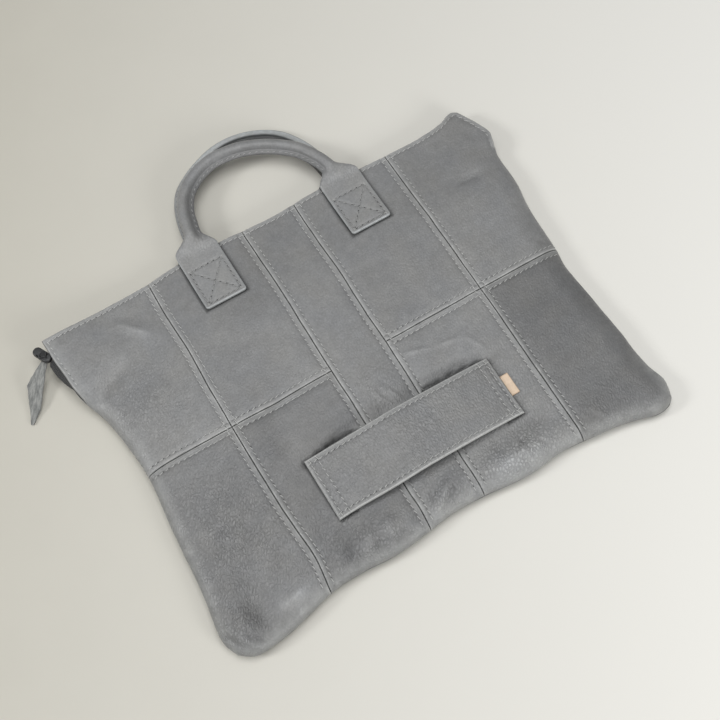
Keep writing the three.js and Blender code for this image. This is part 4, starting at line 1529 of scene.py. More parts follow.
    def relief(self, x: Array, y: Array, rim: Array) -> tuple[Array, Layers]:
        """Height and marks that sewing and use add to the plain front, with painted highlight and shade.

        Args:
            x, y: Places across and up.
            rim: Distances from the rim.

        Returns:
            The height to add, and the layers for the finish.
        """
        upright = np.min([np.abs(x - seam) for seam in self.shape.seams], axis=0)
        cross = np.where(np.abs(x) < self.shape.seams[2], FAR, np.abs(y))
        hem = self.hem_distance(x, y, rim)
        run = np.where(self.top_distance(x, y) < rim, x, y)
        sewn = [(self.seam, upright, y), (self.seam, cross, x), (self.hem, hem, run)]
        heights = np.array([seam.height(distance, along) for seam, distance, along in sewn])
        pressed, raised = heights.min(axis=0), heights.max(axis=0)
        height = np.where(pressed < 0, pressed, raised)
        near = np.minimum(np.minimum(upright, cross), hem)
        crumple, gap, pieces = self.crumple(x, y), self.gap(x, y), self.sewn_on(x, y)
        free = smooth(pieces, 0.0, 6.0) * smooth(near, 3.0, 12.0) * smooth(rim, 0.0, 3.0)
        cos, sin = self.ripple_way
        ripple = crumple * waves(cos * x - sin * y, sin * x + cos * y, self.ripples)
        folded = sum(crease.height(x, y) for crease in self.creases)
        height = height + free * (waves(x, y, self.swells) + ripple) + folded - self.gap_depth * gap
        mottle = 0.72 + 0.28 * Noise(11).at(x, y, 4.0)
        # The lower and left rim edges are rubbed lighter and also painted lighter as highlight.
        turned = np.maximum(smooth(-y, 95.0, 140.0), 0.8 * smooth(-x, 150.0, 180.0))
        turned = turned * (1 - smooth(rim, 2.0, 13.0))
        # Seam lips are rubbed lighter, with a painted highlight beside each groove.
        rubbed = [seam.wear(distance) for seam, distance, _ in sewn]
        wear = np.max([self.rim_rub_and_highlight * turned, *rubbed], axis=0) * mottle
        # Painted shade round the pads and the strap's sewn ends.
        contact_shade = self.contact_painted_shade * (1 - smooth(pieces, *self.contact_shade_reach))
        shade = np.max([patch.at(x, y) for patch in self.painted_shades], axis=0)
        grooves = [seam.soil(distance, along) for seam, distance, along in sewn]
        # Painted shade in the crease above the strap, round the sewn-on pieces, in shade patches, grooves and
        # needle holes.
        soil = np.max([self.gap_painted_shade * gap, shade, contact_shade, *grooves], axis=0)
        layers = {"wear": np.clip(wear, 0, 1), "soil": soil, "crumple": crumple, "pebble": self.pebble(x, y)}
        # Tone: painted highlight on crests and swells and painted shade in hollows, from the creases, ripples
        # and patches.
        crests = np.clip(1.5 * (folded + free * ripple), -self.crest_limit, self.crest_limit)
        patch_painted_light = sum(patch.at(x, y) for patch in self.painted_light_patches)
        layers["tone"] = 1.0 + self.crest_painted_light * crests + patch_painted_light
        return height, layers

    def surface(self, x: Array, y: Array) -> Array:
        """Height of the sewn front over places that wander has not moved."""
        rim = self.shape.near_rim(x, y)[0]
        return self.shape.front(x, y, rim) + self.relief(x, y, rim)[0]

    def grid(self, panel: Panel) -> Array:
        """Places in plan of one panel.

        Args:
            panel: The panel.

        Returns:
            Rows of columns of places.
        """
        last = len(self.shape.seams)
        start = self.seam_lines if panel.column else self.rim_lines
        end = self.seam_lines if panel.column < last else self.rim_lines
        across = stations(self.shape.widths[panel.column], self.cell, start, end)
        single = len(panel.halves) == 1
        grids = []
        for half in panel.halves:
            inner = self.seam_lines if single else (0.0,)
            lines = (self.rim_lines, inner) if half is Half.LOWER else (inner, self.hem_lines)
            up = stations(self.shape.half_height, self.cell, *lines)
            grids.append(self.shape.plan(panel.column, half, across, up[len(grids) :]))
        return np.concatenate(grids)

    def build(self) -> None:
        """Makes and dresses the nine panels."""
        for panel in self.panels:
            plan, reach = self.grid(panel), self.shape.front_round
            outside, inside, rim = self.shape.walls(plan, self.shape.front, reach)
            x, y = outside[..., 0], outside[..., 1]
            height, layers = self.relief(x, y, rim)
            layers["tone"] = panel.tone * (layers["tone"] + waves(x, y, self.clouds))
            outside[..., 2] += height
            for face in (outside, inside):
                face[..., :2] = self.wander(face[..., :2])
            piece = slab(panel.name, outside, inside, layers)
            settle(piece, Finish.PANEL, "panel_leather", panel.name)

    def stitch_rows(self) -> list[Path]:
        """Rows of stitches along both lips of each seam and along the hem.

        Returns:
            The rows.
        """
        row, shape = self.seam.row, self.shape
        plans = []
        for seam in shape.seams:
            low, high = (edge.at(edge.share_where(0, seam))[1] for edge in (shape.bottom, shape.top))
            start, end = low + self.stitch_from[0], high - self.stitch_from[1]
            plans += [straight((line, start), (line, end)) for line in (seam - row, seam + row)]
        left, right = (edge.at(edge.share_where(1, 0.0))[0] for edge in (shape.left, shape.right))
        edges = (left, *shape.seams, right)
        for i in (0, 1, 3, 4):
            start, end = edges[i] + (6 if i else 5), edges[i + 1] - (6 if i < 4 else 5)
            plans += [straight((start, line), (end, line)) for line in (-row, row)]
        top = shape.top.at(np.linspace(0.012, 0.985, 400))
        plans.append(top - np.array((0.0, self.hem.row)))
        for edge, (low, high, way) in zip((shape.left, shape.right), self.hem_sides):
            shares = np.linspace(edge.share_where(1, low), edge.share_where(1, high), 60)
            plans.append(edge.at(shares) - way * self.hem.row * leftward(edge.tangent(shares)))
        paths = [Path.over(plan, self.surface, self.stitch_sink) for plan in plans]
        moved = [np.column_stack([self.wander(p.points[:, :2]), p.points[:, 2]]) for p in paths]
        return [Path(points, path.up, path.run) for points, path in zip(moved, paths)]


@dataclass(frozen=True)
class Back:
    """The plain panel of the back."""

    shape: BodyShape
    cell: float = 3.0
    rim_lines: Row = (0.0, 0.15, 0.5, 1.2, 2.2, 3.6, 5.4, 7.6, 10.0, 13.0)
    hem_lines: Row = (0.0, 0.4, 1.2, 2.4, 3.6, 5.0)

    def build(self) -> None:
        """Makes and dresses the panel."""
        shape, rows = self.shape, []
        for half in Half:
            lines = (self.rim_lines, (0.0,)) if half is Half.LOWER else ((0.0,), self.hem_lines)
            up = stations(shape.half_height, self.cell, *lines)
            up = up if half is Half.LOWER else up[1:]
            columns = []
            for column, width in enumerate(shape.widths):
                start = self.rim_lines if column == 0 else (0.0,)
                end = self.rim_lines if column == len(shape.widths) - 1 else (0.0,)
                across = stations(width, self.cell, start, end)
                columns.append(shape.plan(column, half, across[1 if column else 0 :], up))
            rows.append(np.concatenate(columns, axis=1))
        outside, inside, rim = shape.walls(np.concatenate(rows), shape.back, shape.back_round)
        x, y = outside[..., 0], outside[..., 1]
        wave = 0.5 + 0.5 * Noise(31).at(x, y, 22.0)
        outside[..., 2] += 0.25 * wave * smooth(rim, 1.0, 12.0) * smooth(outside[..., 2], 0.0, 0.3)
        layers = {
            "tone": 0.97 + 0.05 * Noise(32).at(x, y, 46.0),
            "wear": 0.5 * (1 - smooth(rim, 0.5, 5.0)) * wave,
            "soil": np.zeros_like(x),
            "crumple": 0.2 + 0.4 * (1 - smooth(rim, 5.0, 30.0)),
        }
        piece = slab("back_panel", inside, outside, layers)
        settle(piece, Finish.PANEL, "panel_leather", "back_panel")


@dataclass(frozen=True)
class HandleSizes:
    """Sizes that both handles share."""

    pad_width: float = 37.0
    pad_thickness: float = 3.0
    pad_length: float = 55.0
    pad_bevel: float = 1.1
    tube: float = 11.0
    edge_reach: float = 3.6
    edge_half: float = 1.25
    shoulder: float = 15.0
    pad_shares: Row = (0.0, 0.25, 0.5, 0.75, 0.95)
    sides: int = 84
    step: float = 1.3
    end_lines: Row = (0.0, 0.15, 0.4, 0.8, 1.4, 2.2)
    corner: float = 2.5
    box_low: float = 3.4
    box_high: float = 38.5
    box_half: float = 15.0
    end_round: float = 1.4
    dent: float = 0.5
    lump: float = 0.05
    swell: float = 0.35
    stitch_rest: float = 0.4


@dataclass(frozen=True)
class Handle:
    """Leather strip rolled to a tube in the middle and left flat at both ends as a sewn pad."""

    name: str
    pads: tuple[Row, Row]
    arch: tuple[Row, ...]
    front: Front
    faces_up: bool
    seed: int
    sizes: HandleSizes = HandleSizes()

    @cached_property
    def route(self) -> Curve:
        """Middle line of the strip, from the left pad to the right one.

        Returns:
            The line.
        """
        sizes, shape = self.sizes, self.front.shape
        ends = []
        for x, y in self.pads:
            up = y + np.array(sizes.pad_shares) * sizes.pad_length
            across = np.full_like(up, x)
            lie = shape.front(across, up) + shape.piece_gap + sizes.pad_thickness / 2
            height = lie if self.faces_up else np.zeros_like(up)
            ends.append(np.stack([across, up, height], axis=1))
        arch = np.array(self.arch, float)
        arch = arch if self.faces_up else np.column_stack([arch, np.zeros(len(arch))])
        return Curve(np.concatenate([ends[0], arch, ends[1][::-1]]))

    def distances(self) -> Array:
        """Distances along the strip where it has a ring.

        Returns:
            The distances, in order.
        """
        length, lines = self.route.length, np.array(self.sizes.end_lines)
        even = np.linspace(lines[-1], length - lines[-1], round(length / self.sizes.step))[1:-1]
        return np.concatenate([lines, even, length - lines[::-1]])

    def ring(self, outline: Array) -> Array:
        """Evenly spaced points round a section, from a line over its upper half.

        Args:
            outline: Points over the upper half, from the stitched side to the other one.

        Returns:
            Points round the whole section: reach to the stitched side, and height.
        """
        whole = np.concatenate([outline, outline[-2:0:-1] * (1, -1), outline[:1]])
        reach = np.concatenate([[0], np.cumsum(np.linalg.norm(np.diff(whole, axis=0), axis=1))])
        even = np.linspace(0, reach[-1], self.sizes.sides, endpoint=False)
        return np.stack([np.interp(even, reach, column) for column in whole.T], axis=1)

    @cached_property
    def pad_ring(self) -> Array:
        """Section of a pad: flat with rounded edges.

        Returns:
            Points round the section.
        """
        s = self.sizes
        turn = np.linspace(0, math.pi / 2, 8)
        bend = s.pad_bevel * np.stack([np.cos(turn), np.sin(turn)], axis=1)
        right = bend + (s.pad_width / 2 - s.pad_bevel, s.pad_thickness / 2 - s.pad_bevel)
        tips = np.array(((s.pad_width / 2, 0), (-s.pad_width / 2, 0)))
        return self.ring(np.concatenate([tips[:1], right, right[::-1] * (-1, 1), tips[1:]]))

    @cached_property
    def tube_ring(self) -> Array:
        """Section of the tube: round, with a flat stitched edge on one side.

        Returns:
            Points round the section.
        """
        s = self.sizes
        radius, half = s.tube / 2, s.edge_half
        turn = np.linspace(0, math.pi / 2, 8)
        tip = half * np.stack([np.cos(turn), np.sin(turn)], axis=1) + (radius + s.edge_reach - half, 0)
        start = math.asin(half * 1.7 / radius)
        bend = np.linspace(start, math.pi, 60)
        return self.ring(np.concatenate([tip, radius * np.stack([np.cos(bend), np.sin(bend)], axis=1)]))

    def box_marks(self, along: Array, across: Array) -> Array:
        """Distance from the crossed box of stitches on a pad.

        Args:
            along: Distances from the strip's end.
            across: Distances from its middle line.

        Returns:
            The distance at each place.
        """
        low, high, half = self.sizes.box_low, self.sizes.box_high, self.sizes.box_half
        middle = (low + high) / 2
        outside = np.maximum(np.abs(across) - half, np.abs(along - middle) - (high - low) / 2)
        slope = (high - low) / (2 * half)
        crossed = np.abs(np.abs(along - middle) - slope * np.abs(across)) / math.hypot(1, slope)
        return np.minimum(np.abs(outside), np.where(outside < 0, crossed, FAR))

    def sides(self, share: Array) -> Array:
        """Ways from the middle line to the stitched side: into the loop, or out of it on the back handle."""
        inner = np.cross(unit(self.route.tangent(share) * (1, 1, 0)), UP)
        return inner if self.faces_up else -inner

    def build(self) -> None:
        """Makes and dresses the handle."""
        s, shape = self.sizes, self.front.shape
        distance = self.distances()[:, None]
        share = distance[:, 0] / self.route.length
        centre, side = self.route.at(share)[:, None], self.sides(share)[:, None]
        end = np.minimum(distance, self.route.length - distance)
        flat = 1 - smooth(end, s.pad_length, s.pad_length + s.shoulder)
        section = between(self.tube_ring[None], self.pad_ring[None], flat[..., None])
        reach, high = section[..., 0], section[..., 1]
        corner = s.corner * (1 - rounding(end / s.corner))
        reach = reach * (1 - flat * corner / (s.pad_width / 2))
        slim = 1 - 0.5 * (1 - rounding(end / s.end_round))
        points = centre + side * reach[..., None]
        x, y = points[..., 0], points[..., 1]
        level = between(s.tube, s.pad_thickness, flat) / 2 + np.zeros_like(x)
        if self.faces_up:
            base = shape.front(centre[:, 0, 0], centre[:, 0, 1])[:, None]
            level = centre[..., 2] + flat * (shape.front(x, y) - base)
        shown = smooth(high if self.faces_up else -high, 0.0, 0.6)
        sewn = self.box_marks(end + np.zeros_like(reach), reach)
        dent = s.dent * flat * shown * hump(sewn, 0.0, 1.0) * np.sign(high)
        around = np.arange(s.sides)[None] * 0.4
        lumps = (1 - flat) * Noise(self.seed).at(distance + 0 * around, around + 0 * distance, 22.0, 7.0)
        swell = shown * smooth(end, 38.0, 60.0) * flat * Noise(self.seed + 1).at(x, y, 11.0)
        points[..., 2] = level + high * slim * (1 + s.lump * lumps) - dent + s.swell * swell
        piece = loft(self.name, points, self.layers(points, reach, end, flat))
        settle(piece, Finish.HANDLE, "handle_leather", self.name)

    def layers(self, points: Array, reach: Array, end: Array, flat: Array) -> Layers:
        """Marks of sewing and use over the handle, with painted shade on the front tube's inner side and on
        the back tube under the front one.

        Args:
            points: Its points, ring after ring.
            reach: Reach of each point to the stitched side.
            end: Distance of each ring from the nearer end.
            flat: Share to which each ring is flat.

        Returns:
            The layers for the finish.
        """
        tube, x, y = self.sizes.tube / 2, points[..., 0], points[..., 1]
        left = smooth(-x, 20.0, 56.0)
        # Painted shade darkens the tone on the front tube's inner side and its stitched edge, more on the
        # left leg.
        edge = smooth(reach, tube - 0.4, tube + 0.8) * (1 - flat)
        turned = (0.5 + 0.35 * left) * smooth(reach, 1.0 - 3.5 * left, tube)
        inner = np.maximum(edge, turned) * (1 - flat) * self.faces_up
        border = flat * np.maximum(smooth(np.abs(reach), 17.3, 18.3), 1 - smooth(end, 0.5, 2.0))
        sewn = self.box_marks(end + np.zeros_like(reach), reach)
        tone = 1.06 + 0.05 * Noise(self.seed + 2).at(x, y, 22.0) + 0.09 * flat - (0.36 + 0.12 * left) * inner
        wear = np.clip(0.8 * border * (0.75 + 0.25 * Noise(self.seed + 3).at(x, y, 3.0)), 0, 1)
        soil = np.clip(0.4 * flat * hump(sewn, 0.0, 0.45), 0, 1)
        if not self.faces_up:
            flesh = (1 - flat) * smooth(reach, -1.0, 2.0) * (1 - 0.75 * left)
            # Painted shade on the back tube where the front one lies over it.
            hidden_painted_shade = (1 - flat) * (1 - smooth(reach, 0.0, 3.5))
            rim = smooth(reach, tube + 2.4, tube + 3.3) * flesh
            wear = np.maximum(wear, flesh * (0.8 + 0.2 * Noise(self.seed + 4).at(x, y, 3.0)))
            soil = np.max([soil, 0.55 * rim, 0.95 * hidden_painted_shade], axis=0)
            tone = tone - 0.5 * hidden_painted_shade
        crumple = 0.2 + 0.3 * smooth(end, 40, 60) * flat + 0 * reach
        return {"tone": tone, "wear": wear, "soil": soil, "crumple": crumple}

    def stitch_rows(self) -> list[Path]:
        """Rows of stitches: a crossed box on each pad, and one row along the tube's edge.

        Returns:
            The rows.
        """
        s, shape = self.sizes, self.front.shape
        low, high, half = s.box_low, s.box_high, s.box_half
        corners = [(-half, low), (half, low), (half, high), (-half, high)]
        lines = [*zip(corners, corners[1:] + corners[:1]), (corners[0], corners[2]), (corners[1], corners[3])]
        paths = []
        for px, py in self.pads:
            for start, end in lines:
                plan = straight((px + start[0], py + start[1]), (px + end[0], py + end[1]))
                if self.faces_up:
                    sink = s.stitch_rest - shape.piece_gap - s.pad_thickness
                    paths.append(Path.over(plan, shape.front, sink))
                else:
                    points = np.column_stack([plan, np.full(len(plan), 0.5)])
                    down = np.tile(-UP, (len(plan), 1))
                    paths.append(Path(points, down, unit(np.gradient(points, axis=0))))
        return [*paths, self.edge_row()]

    def edge_row(self) -> Path:
        """Row of stitches on the upper face of the tube's stitched edge.

        Returns:
            The row.
        """
        s = self.sizes
        start = (s.pad_length + s.shoulder) / self.route.length
        share = np.linspace(start, 1 - start, 300)
        base = self.route.at(share) if self.faces_up else self.route.at(share) + UP * s.tube / 2
        points = base + self.sides(share) * (s.tube / 2 + 1.5) + UP * s.edge_half
        return Path(points, np.tile(UP, (len(points), 1)), unit(np.gradient(points, axis=0)))


@dataclass(frozen=True)
class Strap:
    """Flat double band across the lower front, sewn down at both short ends, with a small blank tab."""

    front: Front
    left: float = -81.5
    right: float = 85.0
    bottom: float = -109.0
    top: float = -54.6
    thickness: float = 3.0
    seat: float = 0.9
    rise: float = 6.2
    fullness: float = 0.8
    hem: Seam = Seam(start=0.0, roll=1.5, drop=1.25, lip=0.3, row=4.2, pull=0.5, rub=0.15)
    end_rows: Row = (3.6, 10.0)
    cell: float = 1.3
    border_lines: Row = (0.0, 0.12, 0.4, 0.9, 1.6, 2.6, 3.4, 4.0, 4.4, 4.8, 5.6, 7.0)
    swells: tuple[Row, ...] = ((41, 0.25, 24.0), (42, 0.12, 6.0, 14.0))
    stitch_inset: float = 2.6
    stitch_sink: float = 0.05
    tuck: float = 0.9
    tuck_reach: float = 1.4
    label_reach: float = 7.4
    label_bottom: float = -91.8
    label_top: float = -73.2
    label_thickness: float = 1.2

    def underside(self, x: Array, y: Array) -> Array:
        """Height of the band's underside.

        Args:
            x, y: Places across and up.

        Returns:
            The height at each place.
        """
        share = np.clip((x - self.left) / (self.right - self.left), 0, 1)
        shape = self.front.shape
        ends = [shape.front(np.full_like(x, edge), y) for edge in (self.left, self.right)]
        return between(*ends, share) + self.seat + self.rise * np.sin(math.pi * share) ** self.fullness

    def relief(self, x: Array, y: Array) -> tuple[Array, Layers]:
        """Height and marks that sewing and use add to the band's upper face, with a painted highlight along
        its lower rim and painted shade in grooves and needle holes.

        Args:
            x, y: Places across and up.

        Returns:
            The height to add, and the layers for the finish.
        """
        side = np.minimum(y - self.bottom, self.top - y)
        end = np.minimum(x - self.left, self.right - x)
        heights = [self.hem.height(side, x), self.hem.height(end + self.hem.row - self.end_rows[0], y)]
        second = -0.4 * hump(end, self.end_rows[1], 1.0) * smooth(side, 2.0, 5.0)
        fold = -self.hem.drop * (1 - rounding(end / self.hem.roll))
        height = np.minimum(np.minimum(*heights), fold) + second
        free = smooth(np.minimum(side, end), 4.0, 12.0)
        height = height + free * waves(x, y, self.swells)
        # Lower rim and sewn ends rubbed lighter; the lower rim is also painted lighter as highlight.
        rims_rubbed_and_lit = np.maximum(0.75 * (1 - smooth(y - self.bottom, 0.5, 1.5)), 0.5 * (1 - smooth(end, 0.6, 2.4)))
        wear = np.maximum(self.hem.wear(side), rims_rubbed_and_lit)
        # Painted shade in the needle holes of the end rows.
        holes = 0.5 * np.maximum(hump(end, self.end_rows[0], 0.7), hump(end, self.end_rows[1], 0.7))
        holes = holes * (1 - self.hem.beat(y)) ** 2
        soil = np.clip(np.maximum(self.hem.soil(side, x) * smooth(side, 0.5, 2.0), holes), 0, 1)
        crumple = 0.28 + 0.14 * Noise(43).at(x, y, 20.0) + 0.25 * hump(x, 10.0, 30.0)
        layers = {"wear": wear, "soil": soil, "crumple": crumple, "pebble": 0.3 + 0 * x}
        layers["tone"] = 0.95 + 0.05 * Noise(44).at(x, y, 34.0)
        return height, layers

    def surface(self, x: Array, y: Array) -> Array:
        """Height of the band's upper face."""
        return self.underside(x, y) + self.thickness + self.relief(x, y)[0]

    def wander(self, x: Array, y: Array) -> tuple[Array, Array]:
        """Small drift of the band's edges."""
        return x + 0.5 * Noise(45).at(x, y, 30.0), y + 0.6 * Noise(46).at(x, y, 34.0)

    def build(self) -> None:
        """Makes and dresses the band."""
        sizes, lines = (self.right - self.left, self.top - self.bottom), self.border_lines
        across, up = (stations(size, self.cell, lines, lines) for size in sizes)
        x, y = np.meshgrid(between(self.left, self.right, across), between(self.bottom, self.top, up))
        height, layers = self.relief(x, y)
        under = self.underside(x, y)
        edge = -outside_box((self.left, self.right, self.bottom, self.top), x, y)
        tuck = self.tuck * (1 - rounding(edge / self.tuck_reach))
        moved_x, moved_y = self.wander(x, y)
        upper = np.stack([moved_x, moved_y, under + self.thickness + height], axis=-1)
        lower = np.stack([moved_x, moved_y, under + tuck], axis=-1)
        piece = slab("trolley_strap", upper, lower, layers)
        settle(piece, Finish.STRAP, "strap_leather", "trolley_strap")

    def build_label(self) -> None:
        """Makes and dresses the blank tab at the band's right end."""
        shape = self.front.shape
        left, right = self.right + shape.piece_gap, self.right + self.label_reach
        steps = np.concatenate([[0, 0.02, 0.06], np.linspace(0.1, 0.9, 17), [0.94, 0.98, 1]])
        x, y = np.meshgrid(between(left, right, steps), between(self.label_bottom, self.label_top, steps))
        edge = np.minimum(np.minimum(y - self.label_bottom, self.label_top - y), right - x)
        under = shape.front(x, y) + shape.piece_gap + 0.25 * smooth(x, left, right)
        crown = 0.35 * (1 - rounding(edge / 0.8))
        upper = np.stack([x, y, under + self.label_thickness - crown], axis=-1)
        lower = np.stack([x, y, under + 0.5 * crown], axis=-1)
        layers = {
            "tone": 1.0 + 0.03 * Noise(51).at(x, y, 6.0),
            "wear": 0.3 * np.ones_like(x),
            "soil": 0.55 * (1 - smooth(edge, 0.1, 0.7)),
            "crumple": 0.1 * np.ones_like(x),
        }
        settle(slab("label_tab", upper, lower, layers), Finish.LABEL, "label_leather", "label_tab")

    def stitch_rows(self) -> list[Path]:
        """Rows of stitches round the band, doubled at its short ends.

        Returns:
            The rows.
        """
        inset, row = self.stitch_inset, self.hem.row
        plans = [
            straight((self.left + inset, edge), (self.right - inset, edge))
            for edge in (self.bottom + row, self.top - row)
        ]
        for offset in self.end_rows:
            for x in (self.left + offset, self.right - offset):
                plans.append(straight((x, self.bottom + inset), (x, self.top - inset)))
        paths = [Path.over(plan, self.surface, self.stitch_sink) for plan in plans]
        moved = [np.column_stack([*self.wander(*p.points[:, :2].T), p.points[:, 2]]) for p in paths]
        return [Path(points, path.up, path.run) for points, path in zip(moved, paths)]


@dataclass(frozen=True)
class Zip:
    """Zip that closes the top: an upright tape, its coil, the slider and a suede pull."""

    shape: BodyShape
    tape_half: float = 0.5
    coil_pitch: float = 1.5
    coil_thread: float = 0.95
    coil_arch: float = 0.55
    coil_sink: float = 0.15
    coil_height: float = 4.4
    clearance: float = 0.9
    coil_start: float = 45.0
    tape_lead: Row = (80.0, 92.5)
    tape_inset: float = 2.0
    # Outward shift of the tape's foot and head along the rail: its end hangs out at the left corner, pushed
    # further out as a dark sheet standing in for the corner's shadow.
    slump_and_shadow_rows: tuple[Row, ...] = (
        (0, 1.4, -1), (7, 0.3, -3), (14.4, 0.8, -4), (20.4, 2.6, -4), (26.8, 5.8, -3), (30, 5, -2),
        (36, 0, 0),
    )
    rail_rows: tuple[Row, ...] = (
        (-206, 95), (-210, 101), (-211.8, 108), (-211.6, 114), (-209.6, 120), (-207.6, 126), (-207.8, 135),
        (-203.5, 138.2), (-177, 139.3), (-140, 141.4), (-115, 143.2), (-85, 146.1), (-40, 147), (0, 145),
        (40, 147), (110, 146.5), (150, 146.7), (172, 149), (181.5, 152), (186, 152.4), (189.4, 149.8),
        (192.7, 142.6),
        (197.2, 132.6), (200.2, 122.9), (198.6, 117.5),
    )
    slider_centre: Row = (-216.3, 132.2)
    slider_size: Row = (17.0, 8.0)
    slider_turn: float = -63.0
    slider_thickness: float = 4.8
    slider_corner: float = 3.8
    slider_bevel: float = 1.3
    eye: Row = (-215.8, 130.8)
    eye_size: Row = (2.4, 5.4)
    pull_way: Row = (-0.6372, -0.7707)
    pull_thickness: float = 1.5
    pull_floor: float = 0.15
    pull_curl: float = 0.9
    pull_tear: float = 0.07
    pull_nap: float = 0.12
    pull_stations: tuple[Row, ...] = (
        (-2.6, 21.3, 1.8, 0), (-1.3, 21, 2.2, 0), (-0.1, 19.6, 2.2, 0), (0, 17.4, 2.2, 0),
        (0.1, 15.1, 2.2, 0), (2.4, 13, 2.4, 0), (8, 11.6, 3.6, 1), (16, 9.3, 5.4, 2.6),
        (23, 7.4, 6.5, 3.5), (31, 5.2, 5.6, 2),
        (39, 3.4, 4.6, 0.6), (46, 2, 2.8, 0.1), (53, 1.2, 1.1, 0),
    )

    @cached_property
    def rail(self) -> Curve:
        """Line of the zip in plan, from the left side along the top to the right side."""
        return Curve(self.rail_rows)

    def mouth(self, place: Array) -> tuple[Array, Array]:
        """Heights of the inside of the back and of the front at places in plan.

        Args:
            place: Places in plan.

        Returns:
            The lower and the upper height at each place.
        """
        x, y = place[..., 0], place[..., 1]
        low = self.shape.back(x, y) + self.shape.wall + self.clearance
        return low, self.shape.front(x, y) - self.shape.wall - self.clearance

    def build_tape(self) -> None:
        """Makes and dresses the woven tape, whose end hangs out at the left corner, partly as the real tape
        and partly as a dark sheet in place of the shadow there.
        """
        edge = self.shape.left
        lead = np.array([edge.share_where(1, y) for y in np.linspace(*self.tape_lead, 8)])
        even = np.linspace(0, 1, 240)
        share = np.concatenate([np.zeros(len(lead)), even])
        place = np.concatenate([edge.at(lead) + (self.tape_inset, 0.0), self.rail.at(even)])
        travel = np.concatenate([edge.tangent(lead), self.rail.tangent(even)])
        outward = leftward(travel)
        low, high = self.mouth(place)
        high = np.maximum(high, low + 0.3)
        up = np.linspace(0, 1, 9)[None, :, None]
        heights = between(low[:, None, None], high[:, None, None], up)
        reach_rows, outer, inner = np.array(self.slump_and_shadow_rows).T
        foot, head = (np.interp(share * self.rail.length, reach_rows, column) for column in (outer, inner))
        slump_and_shadow = between(foot[:, None, None], head[:, None, None], up)
        faces = []
        for reach in (self.tape_half, -self.tape_half):
            plan = place[:, None] + outward[:, None] * (reach + slump_and_shadow)
            faces.append(np.concatenate([plan, heights], axis=-1))
        settle(slab("zip_tape", *faces, {}), Finish.TAPE, "zip_cloth", "zip_tape")

    def build_coil(self, bars: BarPaths) -> None:
        """Makes and dresses the coil, one turn after another.

        Args:
            bars: What lays the turns.
        """
        share = np.linspace(self.coil_start / self.rail.length, 1.0, 400)
        place, travel = self.rail.at(share), self.rail.tangent(share)
        outward = leftward(travel)
        low, high = self.mouth(place)
        reach = self.tape_half + self.shape.piece_gap + 0.45
        points = np.column_stack([place + outward * reach, (low + high) / 2])
        out = np.column_stack([outward, np.zeros(len(outward))])
        path = Path(points, out, np.tile(UP, (len(points), 1)))
        sizes = {
            "Pitch": self.coil_pitch * MM,
            "Length": self.coil_height * MM,
            "Thickness": self.coil_thread * MM,
            "Arch": self.coil_arch * MM,
            "Sink": self.coil_sink * MM,
            "Slant": math.radians(9),
            "Jitter": 0.0,
        }
        piece = bars.lay("zip_coil", [path], sizes, Finish.NYLON, 61)
        settle(piece, Finish.NYLON, "zip_nylon", "zip_coil")

    def slider_rings(self) -> tuple[Array, Array]:
        """Outlines of the slider and of its eye.

        Returns:
            Points in plan round each.
        """
        radius, half = self.slider_corner - self.slider_bevel, np.array(self.slider_size) / 2
        corners = []
        for sides, start in (((1, -1), -90), ((1, 1), 0), ((-1, 1), 90), ((-1, -1), 180)):
            middle = np.array(sides) * (half - self.slider_corner)
            bend = np.radians(start + np.linspace(0, 90, 9))
            corners.append(middle + radius * np.stack([np.cos(bend), np.sin(bend)], axis=1))
        turn, way = math.radians(self.slider_turn), np.array(self.pull_way)
        turned = np.array(((math.cos(turn), math.sin(turn)), (-math.sin(turn), math.cos(turn))))
        depth, width = (size / 2 + self.slider_bevel for size in self.eye_size)
        along, aside = np.array(((-1, -1, 1, 1), (-1, 1, 1, -1)))[..., None]
        hole = np.array(self.eye) + along * depth * way + aside * width * leftward(way)
        return np.concatenate(corners) @ turned + self.slider_centre, hole

    def build_slider(self) -> None:
        """Makes and dresses the slider: a rounded block with an eye for the pull."""
        curve = bpy.data.curves.new("slider_outline", "CURVE")
        curve.dimensions, curve.fill_mode = "2D", "BOTH"
        curve.extrude = (self.slider_thickness / 2 - self.slider_bevel) * MM
        curve.bevel_depth, curve.bevel_resolution = self.slider_bevel * MM, 3
        for ring in self.slider_rings():
            spline = curve.splines.new("POLY")
            spline.points.add(len(ring) - 1)
            spline.points.foreach_set("co", np.ravel([(x * MM, y * MM, 0, 1) for x, y in ring]))
            spline.use_cyclic_u = True
        shell = put("slider_outline", curve)
        mesh = bpy.data.meshes.new_from_object(shell.evaluated_get(bpy.context.evaluated_depsgraph_get()))
        bpy.data.objects.remove(shell)
        low, high = self.mouth(self.rail.at(self.coil_start / self.rail.length)[None])
        mesh.transform(Matrix.Translation((0, 0, float(low[0] + high[0]) / 2 * MM)))
        mesh.materials.clear()
        piece = close_mesh("zip_slider", mesh, NYLON_SHARP, WELD)
        settle(piece, Finish.NYLON, "zip_nylon", "zip_slider")

